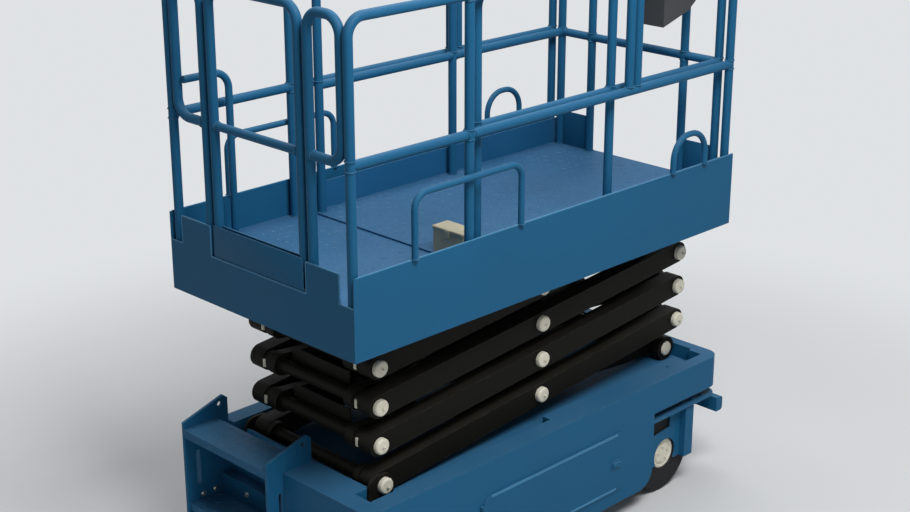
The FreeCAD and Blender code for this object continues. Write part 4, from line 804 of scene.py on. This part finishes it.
# Guard rails: bent steel tube with a weld bead round every joint and at the foot of every post.
# Beads are painted over, so they only catch the light.
MID_RAIL_Z = 1.975
TOP_RAIL_Z = 2.495
POST_FOOT_Z = 1.4165
SLIDE_FOOT_Z = SLIDE_TOP_Z + 0.001
SIDE_RAIL_Y = 0.518
SIDE_POSTS_X = (-1.1107, -0.520, 1.103)
LOOP_ENDS_X = (0.410, 0.460)
EXT_RAIL_Y = 0.458
EXT_POSTS_X = (-0.420, 0.365, 1.106)
GATE_POST_Y = 0.305
GUARD_X = -1.1107
FRONT_GUARD_X = 1.106
FRONT_POST_Y = 0.270
TUBE_R = 0.019
BEAD_R = 0.0026


def make_bead_tree():
    """Geometry tree: a slightly uneven weld bead round every point, square to its direction."""
    sizes = {"Ring Radius": 0.020, "Bead Radius": BEAD_R, "Ripple": 0.0006}
    tree, given, made = start_tree("weld_beads", sizes, platform_enamel)
    ring = add_node(tree, "GeometryNodeCurvePrimitiveCircle",
                    {"Resolution": 40, "Radius": given["Ring Radius"]}, mode="RADIUS")
    section = add_node(tree, "GeometryNodeCurvePrimitiveCircle",
                       {"Resolution": 7, "Radius": given["Bead Radius"]}, mode="RADIUS")
    swept = add_node(tree, "GeometryNodeCurveToMesh", {
        "Curve": ring.outputs["Curve"], "Profile Curve": section.outputs["Curve"]})
    uneven = add_node(tree, "FunctionNodeRandomValue", {
        "Min": (-1.0, -1.0, -1.0), "Max": (1.0, 1.0, 1.0), "Seed": 7}, data_type="FLOAT_VECTOR")
    amount = add_node(tree, "ShaderNodeVectorMath", {
        0: uneven.outputs["Value"], "Scale": given["Ripple"]}, operation="SCALE")
    rippled = add_node(tree, "GeometryNodeSetPosition", {
        "Geometry": swept.outputs["Mesh"], "Offset": amount.outputs[0]})
    set_on_points(tree, given["Geometry"], rippled.outputs["Geometry"], turned_to_direction(tree),
                  given, made)
    return tree


bead_tree = make_bead_tree()

platform_beads = []
for out in (1.0, -1.0):
    rail_y = out * SIDE_RAIL_Y
    for x in SIDE_POSTS_X:
        for z in (POST_FOOT_Z, MID_RAIL_Z + TUBE_R, MID_RAIL_Z - TUBE_R):
            platform_beads.append(((x, rail_y, z), UP))
    for x in (SIDE_POSTS_X[1] - TUBE_R, SIDE_POSTS_X[1] + TUBE_R):
        platform_beads.append(((x, rail_y, MID_RAIL_Z), FORWARD))
    for x in LOOP_ENDS_X:
        platform_beads.append(((x, rail_y, MID_RAIL_Z + TUBE_R), UP))
    platform_beads.append(((SIDE_POSTS_X[1], rail_y, TOP_RAIL_Z - TUBE_R), UP))
    platform_beads.append(((GUARD_X, out * GATE_POST_Y, POST_FOOT_Z), UP))
    platform_beads.append(((GUARD_X, out * (GATE_POST_Y + TUBE_R), MID_RAIL_Z), LEFT))
grown("platform_weld_beads", platform_beads, bead_tree, "platform", "blue_paint")

extension_beads = []
for out in (1.0, -1.0):
    rail_y = out * EXT_RAIL_Y
    for x in EXT_POSTS_X:
        for z in (SLIDE_FOOT_Z, MID_RAIL_Z + TUBE_R):
            extension_beads.append(((x, rail_y, z), UP))
    for x in (EXT_POSTS_X[1] - TUBE_R, EXT_POSTS_X[1] + TUBE_R):
        extension_beads.append(((x, rail_y, MID_RAIL_Z), FORWARD))
    extension_beads.append(((EXT_POSTS_X[1], rail_y, TOP_RAIL_Z - TUBE_R), UP))
    for z in (SLIDE_FOOT_Z, MID_RAIL_Z - TUBE_R, MID_RAIL_Z + TUBE_R, TOP_RAIL_Z - TUBE_R):
        extension_beads.append(((FRONT_GUARD_X, out * FRONT_POST_Y, z), UP))
    for z in (MID_RAIL_Z, TOP_RAIL_Z):
        extension_beads.append(((FRONT_GUARD_X, out * (EXT_RAIL_Y - TUBE_R), z), LEFT))
grown("extension_weld_beads", extension_beads, bead_tree, "extension", "blue_paint")

# Platform skirts: 5 mm plate whose cut edges, along the top, round the gate's notch and round the
# two corner notches, carry thin strips in the paler bead blue: a painted highlight where the
# edges catch the light, with their corners also rubbed pale.
SKIRT_EDGE = 0.0050
SKIRT_EDGE_ROUND = 0.001
SKIRT_TOP_Z = 1.570
SKIRT_REAR_X = -1.1328
SKIRT_SIDE_Y = 0.5478
SKIRT_RUN = 2.250
GATE_NOTCH_Y = 0.286
GATE_NOTCH_Z = 1.445
CORNER_NOTCH_Y = 0.470
CORNER_NOTCH_Z = 1.455
# Corners of the rear skirt's upper edge, from the middle of the gate out to the side, as Y and Z
REAR_EDGE_YZ = (
    (0.0, GATE_NOTCH_Z), (GATE_NOTCH_Y, GATE_NOTCH_Z), (GATE_NOTCH_Y, SKIRT_TOP_Z),
    (CORNER_NOTCH_Y, SKIRT_TOP_Z), (CORNER_NOTCH_Y, CORNER_NOTCH_Z), (SKIRT_SIDE_Y, CORNER_NOTCH_Z),
)

for side, out in (("left", 1.0), ("right", -1.0)):
    bars = [((SKIRT_RUN, SKIRT_EDGE, SKIRT_EDGE), (0.0, out * SKIRT_SIDE_Y, SKIRT_TOP_Z))]
    for (y, z), (next_y, next_z) in zip(REAR_EDGE_YZ, REAR_EDGE_YZ[1:]):
        size = (SKIRT_EDGE, abs(next_y - y) or SKIRT_EDGE, abs(next_z - z) or SKIRT_EDGE)
        bars.append((size, (SKIRT_REAR_X, out * (y + next_y) / 2, (z + next_z) / 2)))
    form = bmesh.new()
    for size, place in bars:
        shape = Matrix.Translation(place) @ Matrix.Diagonal((*size, 1.0))
        bmesh.ops.create_cube(form, size=1.0, matrix=shape)
    bmesh.ops.bevel(form, geom=form.edges[:], offset=SKIRT_EDGE_ROUND, segments=2, profile=0.5,
                    affect="EDGES")
    shaded_piece("skirt_edges_" + side, form, door_bead_enamel, "platform")

# Toe plates: short steel plates that close the gap between the front guard's posts and the
# corner posts of the extension, welded to both and painted with them.
TOE_T = 0.004
TOE_TOP_Z = 1.590
TOE_ROUND = 0.001

toe_size = (TOE_T, EXT_RAIL_Y - FRONT_POST_Y - 2 * TUBE_R, TOE_TOP_Z - SLIDE_TOP_Z)
for side, out in (("left", 1.0), ("right", -1.0)):
    toe_place = (FRONT_GUARD_X, out * (FRONT_POST_Y + EXT_RAIL_Y) / 2, (TOE_TOP_Z + SLIDE_TOP_Z) / 2)
    rounded_block("front_toe_plate_" + side, toe_size, toe_place, TOE_ROUND, platform_enamel,
                  "extension")

# Skirt hoops: low handles of bent bar on the upper edge of the side skirts. Both feet of each are
# welded to the skirt, with a bead round them that is painted over.
HOOP_R = 0.013
HOOP_BEAD_R = HOOP_R + 0.001
HOOP_FEET_X = (-0.835, -0.265, 0.690, 0.910)
HOOP_Y = 0.551
HOOP_FOOT_Z = 1.572

hoop_beads = [((x, out * HOOP_Y, HOOP_FOOT_Z), UP) for out in (1.0, -1.0) for x in HOOP_FEET_X]
grown("hoop_weld_beads", hoop_beads, bead_tree, "platform", "blue_paint", ring_radius=HOOP_BEAD_R)

# Entry gate: tube frame with a toe plate, two hinges, and a plated spring bolt on its free side.
# A thin cover plate closes the toe on the outside and fills the skirt's notch.
GATE_HALF_W = 0.255
GATE_BAR_R = 0.017
GATE_BEAD_R = GATE_BAR_R + 0.001
GATE_PLATE_SIZE = (0.003, 0.536, 0.128)
GATE_PLATE_ROUND = 0.001
GATE_PLATE_STAND = 0.001
GATE_PLATE_Z = 1.514
BOLT_STAND = 0.010
BOLT_IN = 0.028
BOLT_Z = 1.915
KNOB_STAND = 0.009
KNOB_IN = 0.006
BOLT_BODY = ((0.0, 0.0), (0.009, 0.0), (0.011, 0.003), (0.011, 0.050), (0.009, 0.053), (0.006, 0.054),
             (0.006, 0.064), (0.0, 0.066))
BOLT_KNOB = ((0.0, 0.030), (0.009, 0.028), (0.012, 0.022), (0.009, 0.016), (0.005, 0.013), (0.005, 0.0),
             (0.0, 0.0))

gate_beads = [((GUARD_X, out * (GATE_HALF_W - TUBE_R), MID_RAIL_Z), LEFT) for out in (1.0, -1.0)]
grown("gate_weld_beads", gate_beads, bead_tree, "gate", "blue_paint", ring_radius=GATE_BEAD_R)
cover_place = (GUARD_X - TUBE_R - GATE_PLATE_STAND, 0.0, GATE_PLATE_Z)
bolt_x = GUARD_X + TUBE_R + BOLT_STAND
rounded_block("gate_toe_cover", GATE_PLATE_SIZE, cover_place, GATE_PLATE_ROUND, platform_enamel,
              "gate")
lathed("gate_bolt", BOLT_BODY, (bolt_x, BOLT_IN - GATE_HALF_W, BOLT_Z), RIGHT, zinc, "gate")
lathed("gate_bolt_knob", BOLT_KNOB, (bolt_x + KNOB_STAND, KNOB_IN - GATE_HALF_W, BOLT_Z), FORWARD, zinc,
       "gate")

# Control box: dark moulded plastic, hung on the guard. On top are a plain steel panel with corner
# screws, a lever in a ribbed boot, a red stop button on a ring, and a row of toggle switches.
CONTROL_GREY = (0.028, 0.031, 0.034)
BOOT_BLACK = (0.018, 0.018, 0.018)
STOP_RED = (0.50, 0.020, 0.016)
RING_YELLOW = (0.62, 0.40, 0.03)
PANEL_T = 0.002
PANEL_ROUND = 0.0006
PANEL_REAR_X = 0.735
PANEL_FRONT_X = 1.015
PANEL_OUTER_Y = -0.428
PANEL_BORDER = 0.010
PANEL_Z = 2.420
LEVER_X = 0.800
STOP_X = 0.955
TOGGLES_X = (0.858, 0.880, 0.902)
LEVER_LEAN = (0.10, 0.0, 1.0)
TOGGLE_LEAN = (0.25, 0.0, 1.0)
BOOT = ((0.0, 0.0), (0.030, 0.0), (0.030, 0.004), (0.025, 0.006), (0.028, 0.010), (0.021, 0.013),
        (0.024, 0.017), (0.016, 0.020), (0.018, 0.024), (0.010, 0.027), (0.007, 0.030), (0.0, 0.031))
LEVER = ((0.0, 0.024), (0.005, 0.024), (0.005, 0.042), (0.011, 0.046), (0.015, 0.056), (0.015, 0.070),
         (0.011, 0.080), (0.004, 0.084), (0.0, 0.0845))
STOP_RING = ((0.0, 0.0), (0.026, 0.0), (0.026, 0.005), (0.023, 0.008), (0.0, 0.008))
STOP_HEAD = ((0.0, 0.006), (0.010, 0.006), (0.010, 0.016), (0.020, 0.018), (0.021, 0.023),
             (0.017, 0.029), (0.008, 0.032), (0.0, 0.0325))
TOGGLE = ((0.0, 0.0), (0.0065, 0.0), (0.0065, 0.004), (0.003, 0.005), (0.0022, 0.014), (0.0034, 0.020),
          (0.002, 0.0225), (0.0, 0.023))

control_plastic = moulded_plastic("control_box_plastic", CONTROL_GREY, roughness=0.51)
boot_rubber = moulded_plastic("boot_rubber", BOOT_BLACK, roughness=0.73)
stop_plastic = moulded_plastic("stop_red_plastic", STOP_RED, roughness=0.35, drift=0.16, grain=0.03)
ring_plastic = moulded_plastic("stop_ring_plastic", RING_YELLOW, roughness=0.43, drift=0.16, grain=0.05)
finish_nodes(control_plastic, "control_box")
panel_inner_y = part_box("control_box")[1][1] - PANEL_BORDER
panel_x = (PANEL_REAR_X + PANEL_FRONT_X) / 2
panel_y = (PANEL_OUTER_Y + panel_inner_y) / 2
panel_top = PANEL_Z + PANEL_T
rounded_block("control_panel", (PANEL_FRONT_X - PANEL_REAR_X, panel_inner_y - PANEL_OUTER_Y, PANEL_T),
              (panel_x, panel_y, PANEL_Z + PANEL_T / 2), PANEL_ROUND, bare_steel, "extension")
panel_screws = []
for x in (PANEL_REAR_X + PANEL_BORDER, PANEL_FRONT_X - PANEL_BORDER):
    for y in (PANEL_OUTER_Y + PANEL_BORDER, panel_inner_y - PANEL_BORDER):
        panel_screws.append(((x, y, panel_top), UP))
grown("control_panel_screws", panel_screws, screw_tree, "extension", "steel",
      head_radius=0.0035, head_height=0.003, washer_radius=0.0045)
lever_place = (LEVER_X, panel_y, panel_top)
stop_place = (STOP_X, panel_y, panel_top)
lathed("lever_boot", BOOT, lever_place, UP, boot_rubber, "extension")
lathed("drive_lever", LEVER, lever_place, LEVER_LEAN, control_plastic, "extension")
lathed("stop_button_ring", STOP_RING, stop_place, UP, ring_plastic, "extension")
lathed("stop_button", STOP_HEAD, stop_place, UP, stop_plastic, "extension")
for number, x in enumerate(TOGGLES_X, 1):
    lathed("toggle_switch_%d" % number, TOGGLE, (x, panel_y, panel_top), TOGGLE_LEAN, zinc,
           "extension", steps=18)

# Document box: tan moulded plastic on the extension deck's rear edge, with an overhanging lid and
# a short latch strap on its rear face.
TAN = (0.44, 0.40, 0.28)
LID_OVERHANG = 0.004
LID_T = 0.014
LID_LAP = 0.004
LID_ROUND = 0.004
STRAP_SIZE = (0.003, 0.026, 0.034)
STRAP_ROUND = 0.001
STRAP_STAND = 0.001
STRAP_DROP = 0.010

tan_plastic = moulded_plastic("tan_plastic", TAN, roughness=0.56, drift=0.20)
finish_nodes(tan_plastic, "document_box")
papers_low, papers_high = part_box("document_box")
papers_x = (papers_low[0] + papers_high[0]) / 2
papers_y = (papers_low[1] + papers_high[1]) / 2
lid_size = (papers_high[0] - papers_low[0] + 2 * LID_OVERHANG,
            papers_high[1] - papers_low[1] + 2 * LID_OVERHANG, LID_T)
lid_place = (papers_x, papers_y, papers_high[2] + LID_T / 2 - LID_LAP)
strap_place = (papers_low[0] - LID_OVERHANG - STRAP_STAND, papers_y, papers_high[2] - STRAP_DROP)
rounded_block("document_box_lid", lid_size, lid_place, LID_ROUND, tan_plastic, "extension")
rounded_block("document_box_strap", STRAP_SIZE, strap_place, STRAP_ROUND, tan_plastic, "extension")
